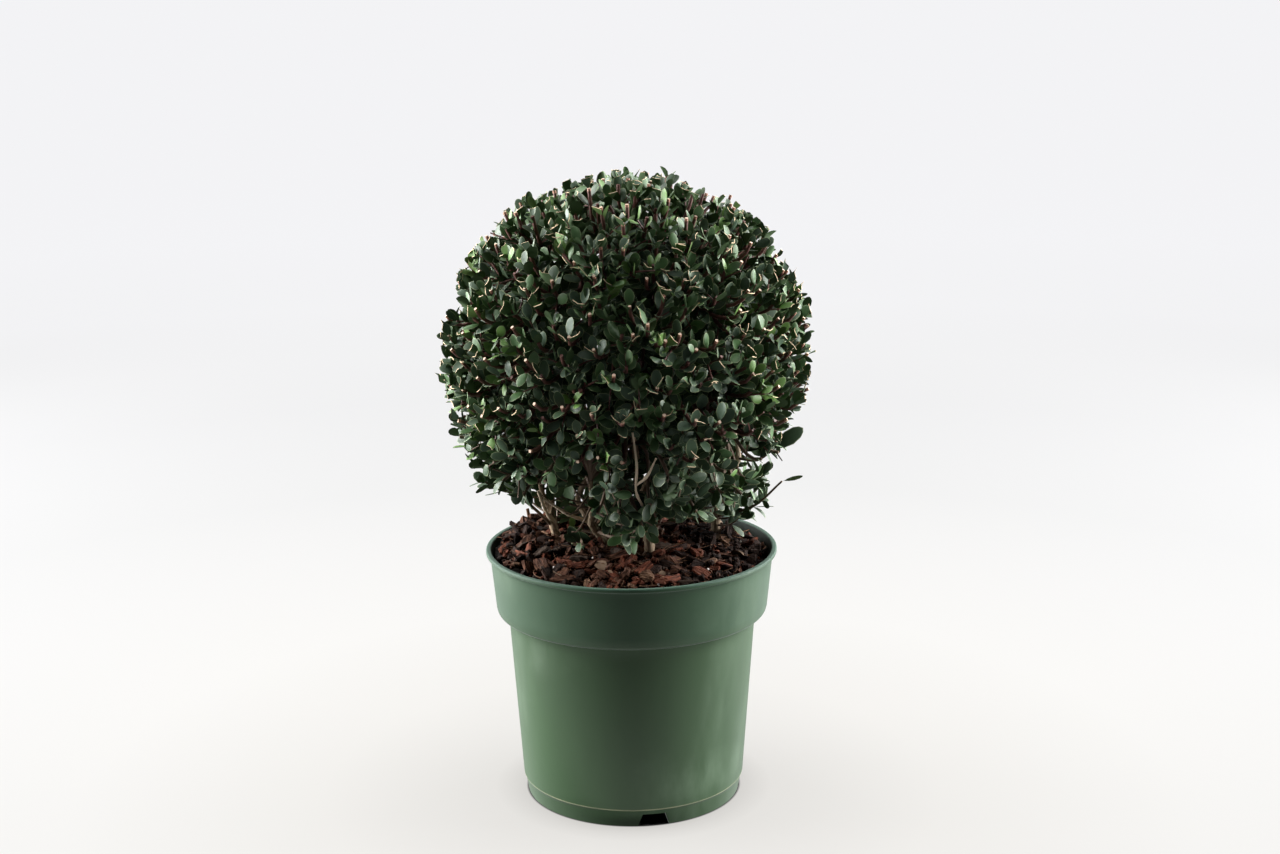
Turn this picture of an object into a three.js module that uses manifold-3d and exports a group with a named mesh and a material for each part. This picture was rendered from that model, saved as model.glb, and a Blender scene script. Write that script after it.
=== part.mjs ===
// A Japanese holly clipped to a ball, growing as a clump of stems in a round nursery pot.
// Millimetres, +Z up. The origin is on the pot's axis, on the surface that the pot stands on.
// The pot's front faces -Y, and azimuths are degrees from +X towards +Y.

import * as THREE from "three";
import { mergeVertices } from "three/addons/utils/BufferGeometryUtils.js";
import Module from "manifold-3d";

const wasm = await Module();
wasm.setup();

// Driving dimensions

const CLEARANCE = 0.3; // gap between pieces that touch
const MERGE_WITHIN = 1e-4; // corners closer than this are one

const POT = {
  height: 202,
  rimRadius: 115,
  lipHeight: 4.8,
  lipOverhang: 3.2,
  collarHeight: 51,
  collarFootRadius: 107.3,
  collarRounding: 3.5,
  wallTopRadius: 98.2,
  wallFootRadius: 88.8,
  wallThickness: 1.8,
  seamHeight: 14,
  seamStep: 0.9,
  footRadius: 85.4,
  skirtThickness: 2.2,
  floorHeight: 9,
  floorThickness: 2,
  facets: 48,
};

const DRAIN = {
  count: 3,
  firstAzimuth: -79.3,
  footWidth: 21,
  topWidth: 17,
  height: 8,
  slotWidth: 16,
  slotInnerRadius: 60,
  slotOuterRadius: 82,
  overrun: 6, // how far the cuts run past the walls that they go through
};

const MIX = {
  level: 200,
  dome: 4,
  heap: 6,
  heapAzimuth: 150,
  lump: 1.3,
  lumpLengths: [9, 11, 14],
  lumpShift: 1.3,
  edgeDrop: 5,
  edgeRadius: 108.4,
  rings: 3,
  socketHeight: 40,
};

const CHIPS = {
  count: 20,
  reach: 94,
  length: [13, 22],
  width: [8, 13],
  thickness: [3.2, 5],
  tilt: 0.5,
  rise: 0.25, // share of a chip's thickness that its middle lies above the mix
  stemRoom: 16,
  seed: 17,
};

const GROUND = 199; // where the stems are cut off flat, just under the loose bark

const CROWN = {
  centre: new THREE.Vector3(-2, 0, 358),
  tipRadius: 147.5,
  tipSlack: 1,
  fullness: 2.3, // a round ball is 2: the lower half is a little squarer
  coreOuter: 114,
  coreInner: 95,
  coreFloor: 280,
  cellMargin: 0.4,
  coreMargin: 0.7,
  lowestLeaf: 234,
};

const STEM = {
  footRadius: 3.6,
  flare: 2.9,
  flareRun: 0.12,
  tipRadius: 2.6,
  buried: 5, // run of the curve below the flat cut, so that the cut is square to it
  uprightRun: 8,
  bow: 1.5,
  sides: 8,
  segments: 6,
};
const BOUGH = {
  rootRadius: 2.1,
  tipRadius: 1.5,
  straightRun: 8,
  finalRise: 14,
  kneeAt: 0.55,
  sides: 6,
  segments: 4,
};
const LEADER = { rootRadius: 2.4, tipRadius: 1.6 };
const LIMB_SAMPLES = 24;

// The clump: where each stem stands, where it forks, and the way its lower foliage faces.
const STEMS = [
  { name: "left", foot: [-60, 6], fork: [-63, 5, 241], azimuth: 176 },
  { name: "front_left", foot: [-22, -8], fork: [-39, -22, 241], azimuth: 248 },
  { name: "front_right", foot: [14, -22], fork: [9, -36, 246], azimuth: 320 },
  { name: "back_right", foot: [68, 34], fork: [63, 27, 240], azimuth: 32 },
  { name: "back_left", foot: [-22, 56], fork: [-27, 60, 243], azimuth: 104 },
];
const MIDDLE_STEM = { name: "middle", foot: [8, 24], fork: [3, 9, 285], azimuth: 285 };

const UPPER_TURN = -36; // degrees from a stem's lower foliage round to its upper foliage
const UPPER_POLAR = 62;
const LOWER_POLAR = 112;
const LOWER_REACH = 74; // distance of the lower boughs' tips from the crown's axis
const BOUGH_DEPTH = 88; // distance of the upper boughs' tips from the crown's centre
const BOUGH_LEAVES_AT = 0.62; // share of a stem's length where its lower bough leaves it
const UPPER_KNEE = { radius: 42, height: 288 };
const MASS_STEM = { radius: 1.6, length: 14, drop: 6 };
const MASS_SEED = 1001;

const SHOOTS = {
  count: 76,
  lastPolar: 144,
  rootRadius: 104,
  rootPolar: 122,
  rootPull: 0.22,
  tipRadius: [125, 130],
  thickness: [1.8, 1.5],
  leaves: 3,
  leafEvery: 9, // one more leaf for each such length beyond the shortest shoot
  firstLeaf: 14, // distance of the first leaf from the root
  lastLeaf: 0.97, // share of the length where the last one stands
  testAt: [0.4, 0.6, 0.8, 1], // shares of the length that have to be clear of limbs
};

// Leaves that stand straight out of a core between the shoots.
const SPURS = { count: 165, lastPolar: 130, rootRadius: 111, lift: [0.34, 0.62] };

const LEAF = {
  length: [27, 33],
  shortest: 14,
  widthShare: 0.6,
  thickness: 1.4,
  fold: 1.2,
  widestAt: 0.56,
  thickestAt: 0.3,
  rootSink: 0.6,
  lift: [0.12, 0.8],
  roll: 0.35,
  tries: 12,
  clipStep: 0.5,
  limbRoom: 1.2,
};

const SPIRAL = 2.399963; // radians between one leaf or shoot and the next
const UPWARDS = new THREE.Vector3(0, 0, 1);

// Low shoots that leave a stem near the bark: where they leave it, and where they end.
const SPRIGS = [
  { name: "left", stem: "left", leavesAt: 0.4, tip: [-102, -8, 257], bow: [-6, -6, -6] },
  { name: "front", stem: "front_left", leavesAt: 0.42, tip: [4, -62, 232], bow: [0, -4, -4] },
  { name: "right", stem: "back_right", leavesAt: 0.4, tip: [117, 12, 252], bow: [4, 0, -7] },
];
const SPRIG = {
  rootRadius: 1.8,
  tipRadius: 1.2,
  sides: 3,
  segments: 5,
  leaves: 7,
  leafLength: 21,
  firstLeaf: 0.45,
  lift: 0.6,
  room: 22, // space round the leafy end that the foliage above stays out of
  seed: 71,
};

// Finishes

const FINISH = {
  pot: { color: 0x2f5a3f, roughness: 0.45 },
  mix: { color: 0x4a2a1e, roughness: 0.95 },
  bark: { color: 0x7d6a56, roughness: 0.85 },
  foliage: { color: 0x24401f, roughness: 0.5 },
};

function finish(kind) {
  return new THREE.MeshStandardMaterial({ metalness: 0, ...FINISH[kind] });
}

// Small tools

function seeded(seed) {
  let state = seed >>> 0;
  return function next() {
    state = (state + 0x6d2b79f5) >>> 0;
    let mixed = Math.imul(state ^ (state >>> 15), state | 1);
    mixed ^= mixed + Math.imul(mixed ^ (mixed >>> 7), mixed | 61);
    return ((mixed ^ (mixed >>> 14)) >>> 0) / 4294967296;
  };
}

function between([low, high], share) {
  return low + (high - low) * share;
}

function radians(degrees) {
  return THREE.MathUtils.degToRad(degrees);
}

function flat(azimuth, radius, height) {
  const turn = radians(azimuth);
  return new THREE.Vector3(radius * Math.cos(turn), radius * Math.sin(turn), height);
}

function direction(azimuth, polar) {
  return flat(azimuth, Math.sin(radians(polar)), Math.cos(radians(polar)));
}

// Size of the clipped crown that passes through a point given from the crown's centre.
function crownSize(offset) {
  const power = offset.z < 0 ? CROWN.fullness : 2;
  return (Math.hypot(offset.x, offset.y) ** power + Math.abs(offset.z) ** power) ** (1 / power);
}

function fromCrown(unit, size) {
  return CROWN.centre.clone().addScaledVector(unit, size / crownSize(unit));
}

// Closed geometry to a solid that can be joined and cut, and back again.

function solidOf(geometry) {
  const bare = geometry.clone();
  bare.deleteAttribute("normal");
  bare.deleteAttribute("uv");
  const merged = mergeVertices(bare, MERGE_WITHIN);
  const index = merged.index.array;
  const triangles = [];
  for (let i = 0; i < index.length; i += 3) {
    const [a, b, c] = [index[i], index[i + 1], index[i + 2]];
    if (a !== b && b !== c && c !== a) {
      triangles.push(a, b, c);
    }
  }
  return new wasm.Manifold(
    new wasm.Mesh({
      numProp: 3,
      vertProperties: Float32Array.from(merged.attributes.position.array),
      triVerts: Uint32Array.from(triangles),
    }),
  );
}

function wholeBody(solid) {
  const bodies = solid.decompose();
  return bodies.reduce((best, body) => (body.volume() > best.volume() ? body : best));
}

function meshOf(name, solid, kind) {
  const shape = solid.getMesh();
  const geometry = new THREE.BufferGeometry();
  geometry.setAttribute("position", new THREE.BufferAttribute(shape.vertProperties, 3));
  geometry.setIndex(new THREE.BufferAttribute(shape.triVerts, 1));
  geometry.computeVertexNormals();
  const mesh = new THREE.Mesh(geometry, finish(kind));
  mesh.name = name;
  return mesh;
}

// Pot

function arc(centreR, centreZ, radius, from, to, steps) {
  const points = [];
  for (let i = 0; i <= steps; i += 1) {
    const turn = radians(from + ((to - from) * i) / steps);
    points.push([centreR + radius * Math.cos(turn), centreZ + radius * Math.sin(turn)]);
  }
  return points;
}

const POT_FLOOR_TOP = POT.floorHeight + POT.floorThickness;
const COLLAR_FOOT = POT.height - POT.collarHeight;
const COLLAR_TOP_RADIUS = POT.rimRadius - POT.lipOverhang;
const LIP_FOOT = POT.height - POT.lipHeight;

// Radius of the pot's inside at a height, from its floor to its rim.
function potInside(height) {
  const shelf = COLLAR_FOOT + POT.wallThickness;
  const [foot, top, low, high] = height < shelf
    ? [POT.wallFootRadius, POT.wallTopRadius, POT.seamHeight, COLLAR_FOOT]
    : [POT.collarFootRadius, COLLAR_TOP_RADIUS, COLLAR_FOOT, LIP_FOOT];
  return foot + ((top - foot) * (height - low)) / (high - low) - POT.wallThickness;
}

function potProfile() {
  const shelf = COLLAR_FOOT + POT.wallThickness;
  const rounding = POT.collarRounding;
  const skirtTop = POT.wallFootRadius - POT.seamStep;
  const skirtAtFloor = POT.footRadius + ((skirtTop - POT.footRadius) * POT.floorHeight) / POT.seamHeight;
  const bead = POT.lipHeight / 3;
  const outside = [
    [POT.footRadius, 0],
    [skirtTop, POT.seamHeight - POT.seamStep / 2],
    [POT.wallFootRadius, POT.seamHeight + POT.seamStep / 2],
    [POT.wallTopRadius, COLLAR_FOOT],
    ...arc(POT.collarFootRadius - rounding, COLLAR_FOOT + rounding, rounding, -90, 0, 2),
    [COLLAR_TOP_RADIUS, LIP_FOOT],
    [POT.rimRadius, LIP_FOOT + bead],
    [POT.rimRadius, POT.height - bead],
    [POT.rimRadius - bead, POT.height],
  ];
  const inside = [
    [potInside(LIP_FOOT) + POT.wallThickness, POT.height],
    [potInside(LIP_FOOT), LIP_FOOT],
    [potInside(shelf + rounding), shelf + rounding],
    [potInside(shelf) - rounding / 2, shelf],
    [POT.wallTopRadius - POT.wallThickness, shelf],
    [potInside(POT_FLOOR_TOP), POT_FLOOR_TOP],
    [0, POT_FLOOR_TOP],
  ];
  const underside = [
    [0, POT.floorHeight],
    [skirtAtFloor - POT.skirtThickness, POT.floorHeight],
    [POT.footRadius - POT.skirtThickness, 0],
  ];
  return [...underside, ...outside, ...inside].map(([r, z]) => new THREE.Vector2(r, z));
}

function lathe(profile, facets) {
  return new THREE.LatheGeometry(profile, facets).rotateX(Math.PI / 2);
}

// A notch through the skirt and a slot in the floor behind it, facing +X before they are turned.
function drain(azimuth) {
  const slope = (DRAIN.footWidth - DRAIN.topWidth) / 2 / DRAIN.height;
  const foot = DRAIN.footWidth / 2 + slope * DRAIN.overrun;
  const opening = new THREE.Shape([
    new THREE.Vector2(-foot, -DRAIN.overrun),
    new THREE.Vector2(foot, -DRAIN.overrun),
    new THREE.Vector2(DRAIN.topWidth / 2, DRAIN.height),
    new THREE.Vector2(-DRAIN.topWidth / 2, DRAIN.height),
  ]);
  const depth = POT.footRadius - DRAIN.slotOuterRadius + 2 * DRAIN.overrun;
  const notch = new THREE.ExtrudeGeometry(opening, { depth, bevelEnabled: false });
  notch.rotateX(Math.PI / 2).rotateZ(Math.PI / 2);
  notch.translate(DRAIN.slotOuterRadius - DRAIN.overrun, 0, 0);
  const slotLength = DRAIN.slotOuterRadius - DRAIN.slotInnerRadius;
  const slot = new THREE.BoxGeometry(slotLength, DRAIN.slotWidth, POT.floorThickness * 3);
  slot.translate(DRAIN.slotInnerRadius + slotLength / 2, 0, POT.floorHeight + POT.floorThickness / 2);
  return [notch, slot].map((shape) => solidOf(shape.rotateZ(radians(azimuth))));
}

function pot() {
  let solid = solidOf(lathe(potProfile(), POT.facets));
  for (let i = 0; i < DRAIN.count; i += 1) {
    for (const cut of drain(DRAIN.firstAzimuth + (360 * i) / DRAIN.count)) {
      solid = solid.subtract(cut);
    }
  }
  return solid;
}

// Limbs: a tapering round rod along a smooth curve, kept with its points for later clearances.

function makeLimb(points, radiusAt, sides, segments) {
  const curve = new THREE.CatmullRomCurve3(points);
  const limb = { curve, radiusAt, sides, segments };
  limb.samples = Array.from({ length: LIMB_SAMPLES + 1 }, (_, i) => ({
    at: curve.getPointAt(i / LIMB_SAMPLES),
    radius: radiusAt(i / LIMB_SAMPLES),
  }));
  limb.solid = limbSolid(limb, 0);
  return limb;
}

function limbSolid(limb, growth) {
  const { curve, radiusAt, sides, segments } = limb;
  const frames = curve.computeFrenetFrames(segments, false);
  const rod = new THREE.CylinderGeometry(1, 1, 1, sides, segments);
  const position = rod.attributes.position;
  const corner = new THREE.Vector3();
  for (let i = 0; i < position.count; i += 1) {
    corner.fromBufferAttribute(position, i);
    const station = Math.round((corner.y + 0.5) * segments);
    const share = station / segments;
    const radius = radiusAt(share) + growth;
    const moved = curve
      .getPointAt(share)
      .addScaledVector(frames.normals[station], corner.x * radius)
      .addScaledVector(frames.binormals[station], -corner.z * radius);
    position.setXYZ(i, moved.x, moved.y, moved.z);
  }
  return solidOf(rod);
}

function taper(root, tip) {
  return (share) => root + (tip - root) * share;
}

function flaredTaper(share) {
  return taper(STEM.footRadius, STEM.tipRadius)(share) + STEM.flare * Math.exp(-share / STEM.flareRun);
}

function growStem(spec) {
  const foot = new THREE.Vector3(...spec.foot, GROUND - STEM.buried);
  const fork = new THREE.Vector3(...spec.fork);
  const upright = foot.clone().setZ(GROUND + STEM.uprightRun);
  const middle = upright.clone().lerp(fork, 0.5).add(flat(spec.azimuth, STEM.bow, 0));
  const stem = makeLimb([foot, upright, middle, fork], flaredTaper, STEM.sides, STEM.segments);
  stem.solid = stem.solid.trimByPlane([0, 0, 1], GROUND);
  return { ...spec, ...stem };
}

function leaveStem(stem, points, sizes) {
  const start = stem.curve.getPointAt(BOUGH_LEAVES_AT);
  const root = taper(sizes.rootRadius, sizes.tipRadius);
  const bough = makeLimb([start, ...points], root, BOUGH.sides, BOUGH.segments);
  bough.solid = wholeBody(bough.solid.subtract(limbSolid(stem, CLEARANCE)));
  return bough;
}

function carryOn(stem, points, sizes) {
  const tip = stem.curve.getPointAt(1);
  const onward = stem.curve.getTangentAt(1);
  const start = tip.clone().addScaledVector(onward, CLEARANCE);
  const bent = start.clone().addScaledVector(onward, BOUGH.straightRun);
  const root = taper(sizes.rootRadius, sizes.tipRadius);
  return makeLimb([start, bent, ...points], root, BOUGH.sides, BOUGH.segments + 2);
}

function lowerBough(stem) {
  const height = CROWN.coreFloor - MASS_STEM.drop;
  const tip = flat(stem.azimuth, LOWER_REACH, height).add(CROWN.centre.clone().setZ(0));
  const below = tip.clone().setZ(height - BOUGH.finalRise);
  const knee = stem.curve.getPointAt(BOUGH_LEAVES_AT).lerp(below, BOUGH.kneeAt);
  return leaveStem(stem, [knee, tip], BOUGH);
}

function upperBough(stem) {
  const tip = fromCrown(direction(stem.azimuth + UPPER_TURN, UPPER_POLAR), BOUGH_DEPTH);
  const knee = flat(stem.azimuth + UPPER_TURN / 2, UPPER_KNEE.radius, UPPER_KNEE.height);
  return carryOn(stem, [knee, tip], BOUGH);
}

function leaderBough(stem) {
  const tip = fromCrown(direction(0, 0), BOUGH_DEPTH);
  return carryOn(stem, [tip.clone().lerp(stem.curve.getPointAt(1), 0.5), tip], LEADER);
}

const stems = STEMS.map(growStem);
const middleStem = growStem(MIDDLE_STEM);
const lowerBoughs = stems.map(lowerBough);
const upperBoughs = stems.map(upperBough);
const leader = leaderBough(middleStem);
const limbs = [...stems, middleStem, ...lowerBoughs, ...upperBoughs, leader];

// Clear distance from a point to the nearest limb's bark.
function limbGap(point, others) {
  let gap = Infinity;
  const nearest = new THREE.Vector3();
  const span = new THREE.Line3();
  for (const { samples } of others) {
    for (let i = 1; i < samples.length; i += 1) {
      span.set(samples[i - 1].at, samples[i].at).closestPointToPoint(point, true, nearest);
      gap = Math.min(gap, nearest.distanceTo(point) - samples[i - 1].radius);
    }
  }
  return gap;
}

// Potting mix with loose bark on top

function mixHeight(x, y) {
  const radius = Math.hypot(x, y);
  const share = radius / MIX.edgeRadius;
  const heap = flat(MIX.heapAzimuth, MIX.heap, 0);
  const slope = (x * heap.x + y * heap.y) / MIX.heap / MIX.edgeRadius;
  const [long, wide, slant] = MIX.lumpLengths;
  const lumps = Math.sin(x / long + MIX.lumpShift) * Math.cos(y / wide) + Math.sin((x + y) / slant);
  const level = MIX.level + MIX.dome * (1 - share * share) + MIX.heap * slope;
  return level + MIX.lump * lumps - MIX.edgeDrop * share ** 6;
}

function mixBody() {
  const floor = POT_FLOOR_TOP + CLEARANCE;
  const shelf = COLLAR_FOOT + POT.wallThickness + CLEARANCE;
  const inner = (height) => potInside(height) - 2 * CLEARANCE;
  const top = MIX.level - MIX.edgeDrop;
  const sides = [
    [0, floor],
    [inner(floor), floor],
    [POT.wallTopRadius - POT.wallThickness - 2 * CLEARANCE, shelf],
    [potInside(shelf) - POT.collarRounding, shelf],
    [potInside(shelf + POT.collarRounding) - 2 * CLEARANCE, shelf + POT.collarRounding],
  ];
  const rings = Array.from({ length: MIX.rings + 1 }, (_, i) => [MIX.edgeRadius * (1 - i / MIX.rings), top]);
  const profile = [...sides, ...rings].map(([r, z]) => new THREE.Vector2(r, z));
  const body = lathe(profile, POT.facets);
  const position = body.attributes.position;
  for (let i = 0; i < position.count; i += 1) {
    if (position.getZ(i) > top - 1) {
      position.setZ(i, mixHeight(position.getX(i), position.getY(i)));
    }
  }
  return solidOf(body);
}

function barkChip(x, y, random) {
  const size = [CHIPS.length, CHIPS.width, CHIPS.thickness].map((range) => between(range, random()));
  const chip = new THREE.BoxGeometry(...size);
  const tilt = () => (random() - 0.5) * CHIPS.tilt;
  chip.rotateX(tilt()).rotateY(tilt()).rotateZ(random() * Math.PI);
  return solidOf(chip.translate(x, y, mixHeight(x, y) + size[2] * CHIPS.rise));
}

function pottingMix() {
  const random = seeded(CHIPS.seed);
  const pieces = [mixBody()];
  for (let i = 0; i < CHIPS.count; i += 1) {
    const radius = CHIPS.reach * Math.sqrt((i + 0.5) / CHIPS.count);
    const x = radius * Math.cos(i * SPIRAL);
    const y = radius * Math.sin(i * SPIRAL);
    const chip = barkChip(x, y, random);
    if (limbGap(new THREE.Vector3(x, y, GROUND + STEM.uprightRun), limbs) > CHIPS.stemRoom) {
      pieces.push(chip);
    }
  }
  let solid = wasm.Manifold.union(pieces);
  for (const { foot } of [...stems, middleStem]) {
    const radius = STEM.footRadius + STEM.flare + 2 * CLEARANCE;
    const socket = new THREE.CylinderGeometry(radius, radius, MIX.socketHeight, STEM.sides);
    socket.rotateX(Math.PI / 2).translate(...foot, GROUND - CLEARANCE + MIX.socketHeight / 2);
    solid = solid.subtract(solidOf(socket));
  }
  return wholeBody(solid);
}

// Leaves and twigs

// An eight-faced blade from its root at the origin along +Y, folded up a little at its sides.
function leaf(length) {
  const shape = new THREE.OctahedronGeometry(1);
  const position = shape.attributes.position;
  for (let i = 0; i < position.count; i += 1) {
    const [across, along, up] = [position.getX(i), position.getY(i), position.getZ(i)].map(Math.round);
    const midway = across === 0 ? LEAF.thickestAt : LEAF.widestAt;
    const reach = [-LEAF.rootSink, midway * length, length][along + 1];
    const rise = (up * LEAF.thickness) / 2 + Math.abs(across) * LEAF.fold;
    position.setXYZ(i, (across * length * LEAF.widthShare) / 2, reach, rise);
  }
  return shape;
}

function leafAt(root, axis, facing, length) {
  const up = facing.clone().addScaledVector(axis, -facing.dot(axis)).normalize();
  const side = axis.clone().cross(up);
  const basis = new THREE.Matrix4().makeBasis(side, axis, up).setPosition(root);
  return leaf(length).applyMatrix4(basis);
}

// Length of a leaf that ends inside the clipped crown.
function clippedLength(root, axis, wanted) {
  let length = wanted;
  const tip = new THREE.Vector3();
  do {
    tip.copy(root).addScaledVector(axis, length).sub(CROWN.centre);
    length -= LEAF.clipStep;
  } while (crownSize(tip) > CROWN.tipRadius && length > 0);
  return length;
}

function twig(from, to, [rootRadius, tipRadius]) {
  const axis = to.clone().sub(from);
  const rod = new THREE.CylinderGeometry(tipRadius, rootRadius, axis.length(), 3, 1);
  const turn = new THREE.Quaternion().setFromUnitVectors(new THREE.Vector3(0, 1, 0), axis.normalize());
  rod.applyQuaternion(turn);
  return rod.translate(...from.clone().lerp(to, 0.5).toArray());
}

function cornersOf(geometry) {
  const position = geometry.attributes.position;
  const corners = [];
  for (let i = 0; i < position.count; i += 1) {
    corners.push(new THREE.Vector3().fromBufferAttribute(position, i));
  }
  const middles = corners.map((corner, i) => corner.clone().lerp(corners[(i + 1) % corners.length], 0.5));
  return [...corners, ...middles];
}

function sideways(axis) {
  const helper = Math.abs(axis.z) < 0.9 ? new THREE.Vector3(0, 0, 1) : new THREE.Vector3(1, 0, 0);
  const first = helper.cross(axis).normalize();
  return [first, axis.clone().cross(first)];
}

function roundTurn(axis, turn) {
  const [first, second] = sideways(axis);
  return first.multiplyScalar(Math.cos(turn)).addScaledVector(second, Math.sin(turn));
}

// A unit direction that leans from sideways towards an axis, by a lift of 0 to 1.
function leaning(axis, out, lift) {
  return axis.clone().multiplyScalar(lift).addScaledVector(out, Math.sqrt(1 - lift * lift));
}

// Low sprigs: one thin shoot each, leafy towards its end.

function growSprig(spec, seed) {
  const random = seeded(seed);
  const stem = stems.find(({ name }) => name === spec.stem);
  const start = stem.curve.getPointAt(spec.leavesAt);
  const tip = new THREE.Vector3(...spec.tip);
  const middle = start.clone().lerp(tip, 0.5).add(new THREE.Vector3(...spec.bow));
  const radiusAt = taper(SPRIG.rootRadius, SPRIG.tipRadius);
  const rod = makeLimb([start, middle, tip], radiusAt, SPRIG.sides, SPRIG.segments);
  const pieces = [rod.solid];
  for (let i = 0; i < SPRIG.leaves; i += 1) {
    const share = between([SPRIG.firstLeaf, 1], i / (SPRIG.leaves - 1));
    const axis = rod.curve.getTangentAt(share);
    const out = roundTurn(axis, i * SPIRAL + random());
    const along = leaning(axis, out, SPRIG.lift);
    const blade = leafAt(rod.curve.getPointAt(share), along, UPWARDS, SPRIG.leafLength);
    const high = cornersOf(blade).every((p) => p.z > mixHeight(p.x, p.y) + CHIPS.thickness[1]);
    const clear = cornersOf(blade).every((p) => limbGap(p, limbs) > LEAF.limbRoom);
    if (high && clear) {
      pieces.push(solidOf(blade));
    }
  }
  const joined = wasm.Manifold.union(pieces).subtract(limbSolid(stem, CLEARANCE));
  const room = rod.samples
    .slice(Math.floor(rod.samples.length * SPRIG.firstLeaf))
    .map(({ at }) => ({ at, radius: SPRIG.room }));
  return { ...spec, solid: wholeBody(joined), samples: room };
}

const sprigs = SPRIGS.map((spec, i) => growSprig(spec, SPRIG.seed + i));
const obstacles = [...limbs, ...sprigs];

// Foliage: a ball shared out among masses, each a core on its own stem with leafy shoots.

const masses = [
  { name: "foliage_top", unit: direction(0, 0), bough: leader },
  ...stems.map(({ name, azimuth }, i) => ({
    name: `foliage_upper_${name}`,
    unit: direction(azimuth + UPPER_TURN, UPPER_POLAR),
    bough: upperBoughs[i],
  })),
  ...stems.map(({ name, azimuth }, i) => ({
    name: `foliage_lower_${name}`,
    unit: direction(azimuth, LOWER_POLAR),
    bough: lowerBoughs[i],
  })),
];

function ownerOf(unit) {
  return masses.reduce((best, mass) => (mass.unit.dot(unit) > best.unit.dot(unit) ? mass : best));
}

// Planes that part a mass from its neighbours, each with its normal pointing into the mass.
function cellWalls(mass) {
  const others = masses.filter((other) => other !== mass);
  return others.map((other) => mass.unit.clone().sub(other.unit).normalize());
}

function insideCell(mass, point) {
  const offset = point.clone().sub(CROWN.centre);
  return (
    crownSize(offset) < CROWN.tipRadius + CROWN.tipSlack
    && point.z > CROWN.lowestLeaf
    && cellWalls(mass).every((wall) => wall.dot(offset) > CROWN.cellMargin)
  );
}

const crownShell = solidOf(new THREE.IcosahedronGeometry(CROWN.coreOuter, 2))
  .subtract(solidOf(new THREE.IcosahedronGeometry(CROWN.coreInner, 1)))
  .translate(CROWN.centre.toArray());

function coreOf(mass) {
  let core = crownShell.trimByPlane([0, 0, 1], CROWN.coreFloor);
  for (const wall of cellWalls(mass)) {
    core = core.trimByPlane(wall.toArray(), wall.dot(CROWN.centre) + CROWN.coreMargin);
  }
  for (const limb of limbs) {
    core = core.subtract(limbSolid(limb, CLEARANCE));
  }
  return core;
}

function massStem({ bough }) {
  const tip = bough.curve.getPointAt(1);
  const onward = bough.curve.getTangentAt(1);
  const start = tip.clone().addScaledVector(onward, CLEARANCE);
  const end = start.clone().addScaledVector(onward, MASS_STEM.length);
  return solidOf(twig(start, end, [MASS_STEM.radius, MASS_STEM.radius]));
}

// Even directions round the crown from its top down to a polar angle, those of one mass.
function waysOf(mass, count, lastPolar) {
  const lowest = Math.cos(radians(lastPolar));
  const ways = Array.from({ length: count }, (_, i) => {
    const height = between([1, lowest], (i + 0.5) / count);
    const polar = THREE.MathUtils.radToDeg(Math.acos(height));
    return { azimuth: THREE.MathUtils.radToDeg(i * SPIRAL), polar };
  });
  return ways.filter(({ azimuth, polar }) => ownerOf(direction(azimuth, polar)) === mass);
}

function crosses(solid, others) {
  return others.some((other) => !solid.intersect(other).isEmpty());
}

// A leaf turned round its shoot until it is clear of its cell's walls, limbs and other leaves.
function addLeaf(mass, root, unit, lift, turn, leaves, random) {
  const wanted = between(LEAF.length, random());
  for (let attempt = 0; attempt < LEAF.tries; attempt += 1) {
    const out = roundTurn(unit, turn + (attempt * 2 * Math.PI) / LEAF.tries);
    const axis = leaning(unit, out, lift);
    const length = clippedLength(root, axis, wanted);
    const facing = unit.clone().addScaledVector(roundTurn(unit, random() * 2 * Math.PI), LEAF.roll);
    const blade = leafAt(root, axis, facing, length);
    const corners = cornersOf(blade);
    const free = corners.every((p) => insideCell(mass, p) && limbGap(p, obstacles) > LEAF.limbRoom);
    if (length > LEAF.shortest && free) {
      const solid = solidOf(blade);
      if (!crosses(solid, leaves)) {
        leaves.push(solid);
        return;
      }
    }
  }
}

function growShoot(mass, { azimuth, polar }, leaves, random) {
  const unit = direction(azimuth, polar);
  const rootUnit = direction(azimuth, Math.min(polar, SHOOTS.rootPolar)).lerp(mass.unit, SHOOTS.rootPull);
  const root = CROWN.centre.clone().addScaledVector(rootUnit.normalize(), SHOOTS.rootRadius);
  const tip = fromCrown(unit, between(SHOOTS.tipRadius, random()));
  const length = root.distanceTo(tip);
  const clear = SHOOTS.testAt.every((share) => {
    const point = root.clone().lerp(tip, share);
    return insideCell(mass, point) && limbGap(point, obstacles) > LEAF.limbRoom + SHOOTS.thickness[0];
  });
  if (!clear) {
    return null;
  }
  const shortest = SHOOTS.tipRadius[0] - SHOOTS.rootRadius;
  const count = SHOOTS.leaves + Math.max(0, Math.floor((length - shortest) / SHOOTS.leafEvery));
  const spin = random() * 2 * Math.PI;
  for (let i = 0; i < count; i += 1) {
    const share = i / (count - 1);
    const at = root.clone().lerp(tip, between([SHOOTS.firstLeaf / length, SHOOTS.lastLeaf], share));
    addLeaf(mass, at, unit, between(LEAF.lift, share), spin + i * SPIRAL, leaves, random);
  }
  return solidOf(twig(root, tip, SHOOTS.thickness));
}

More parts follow.
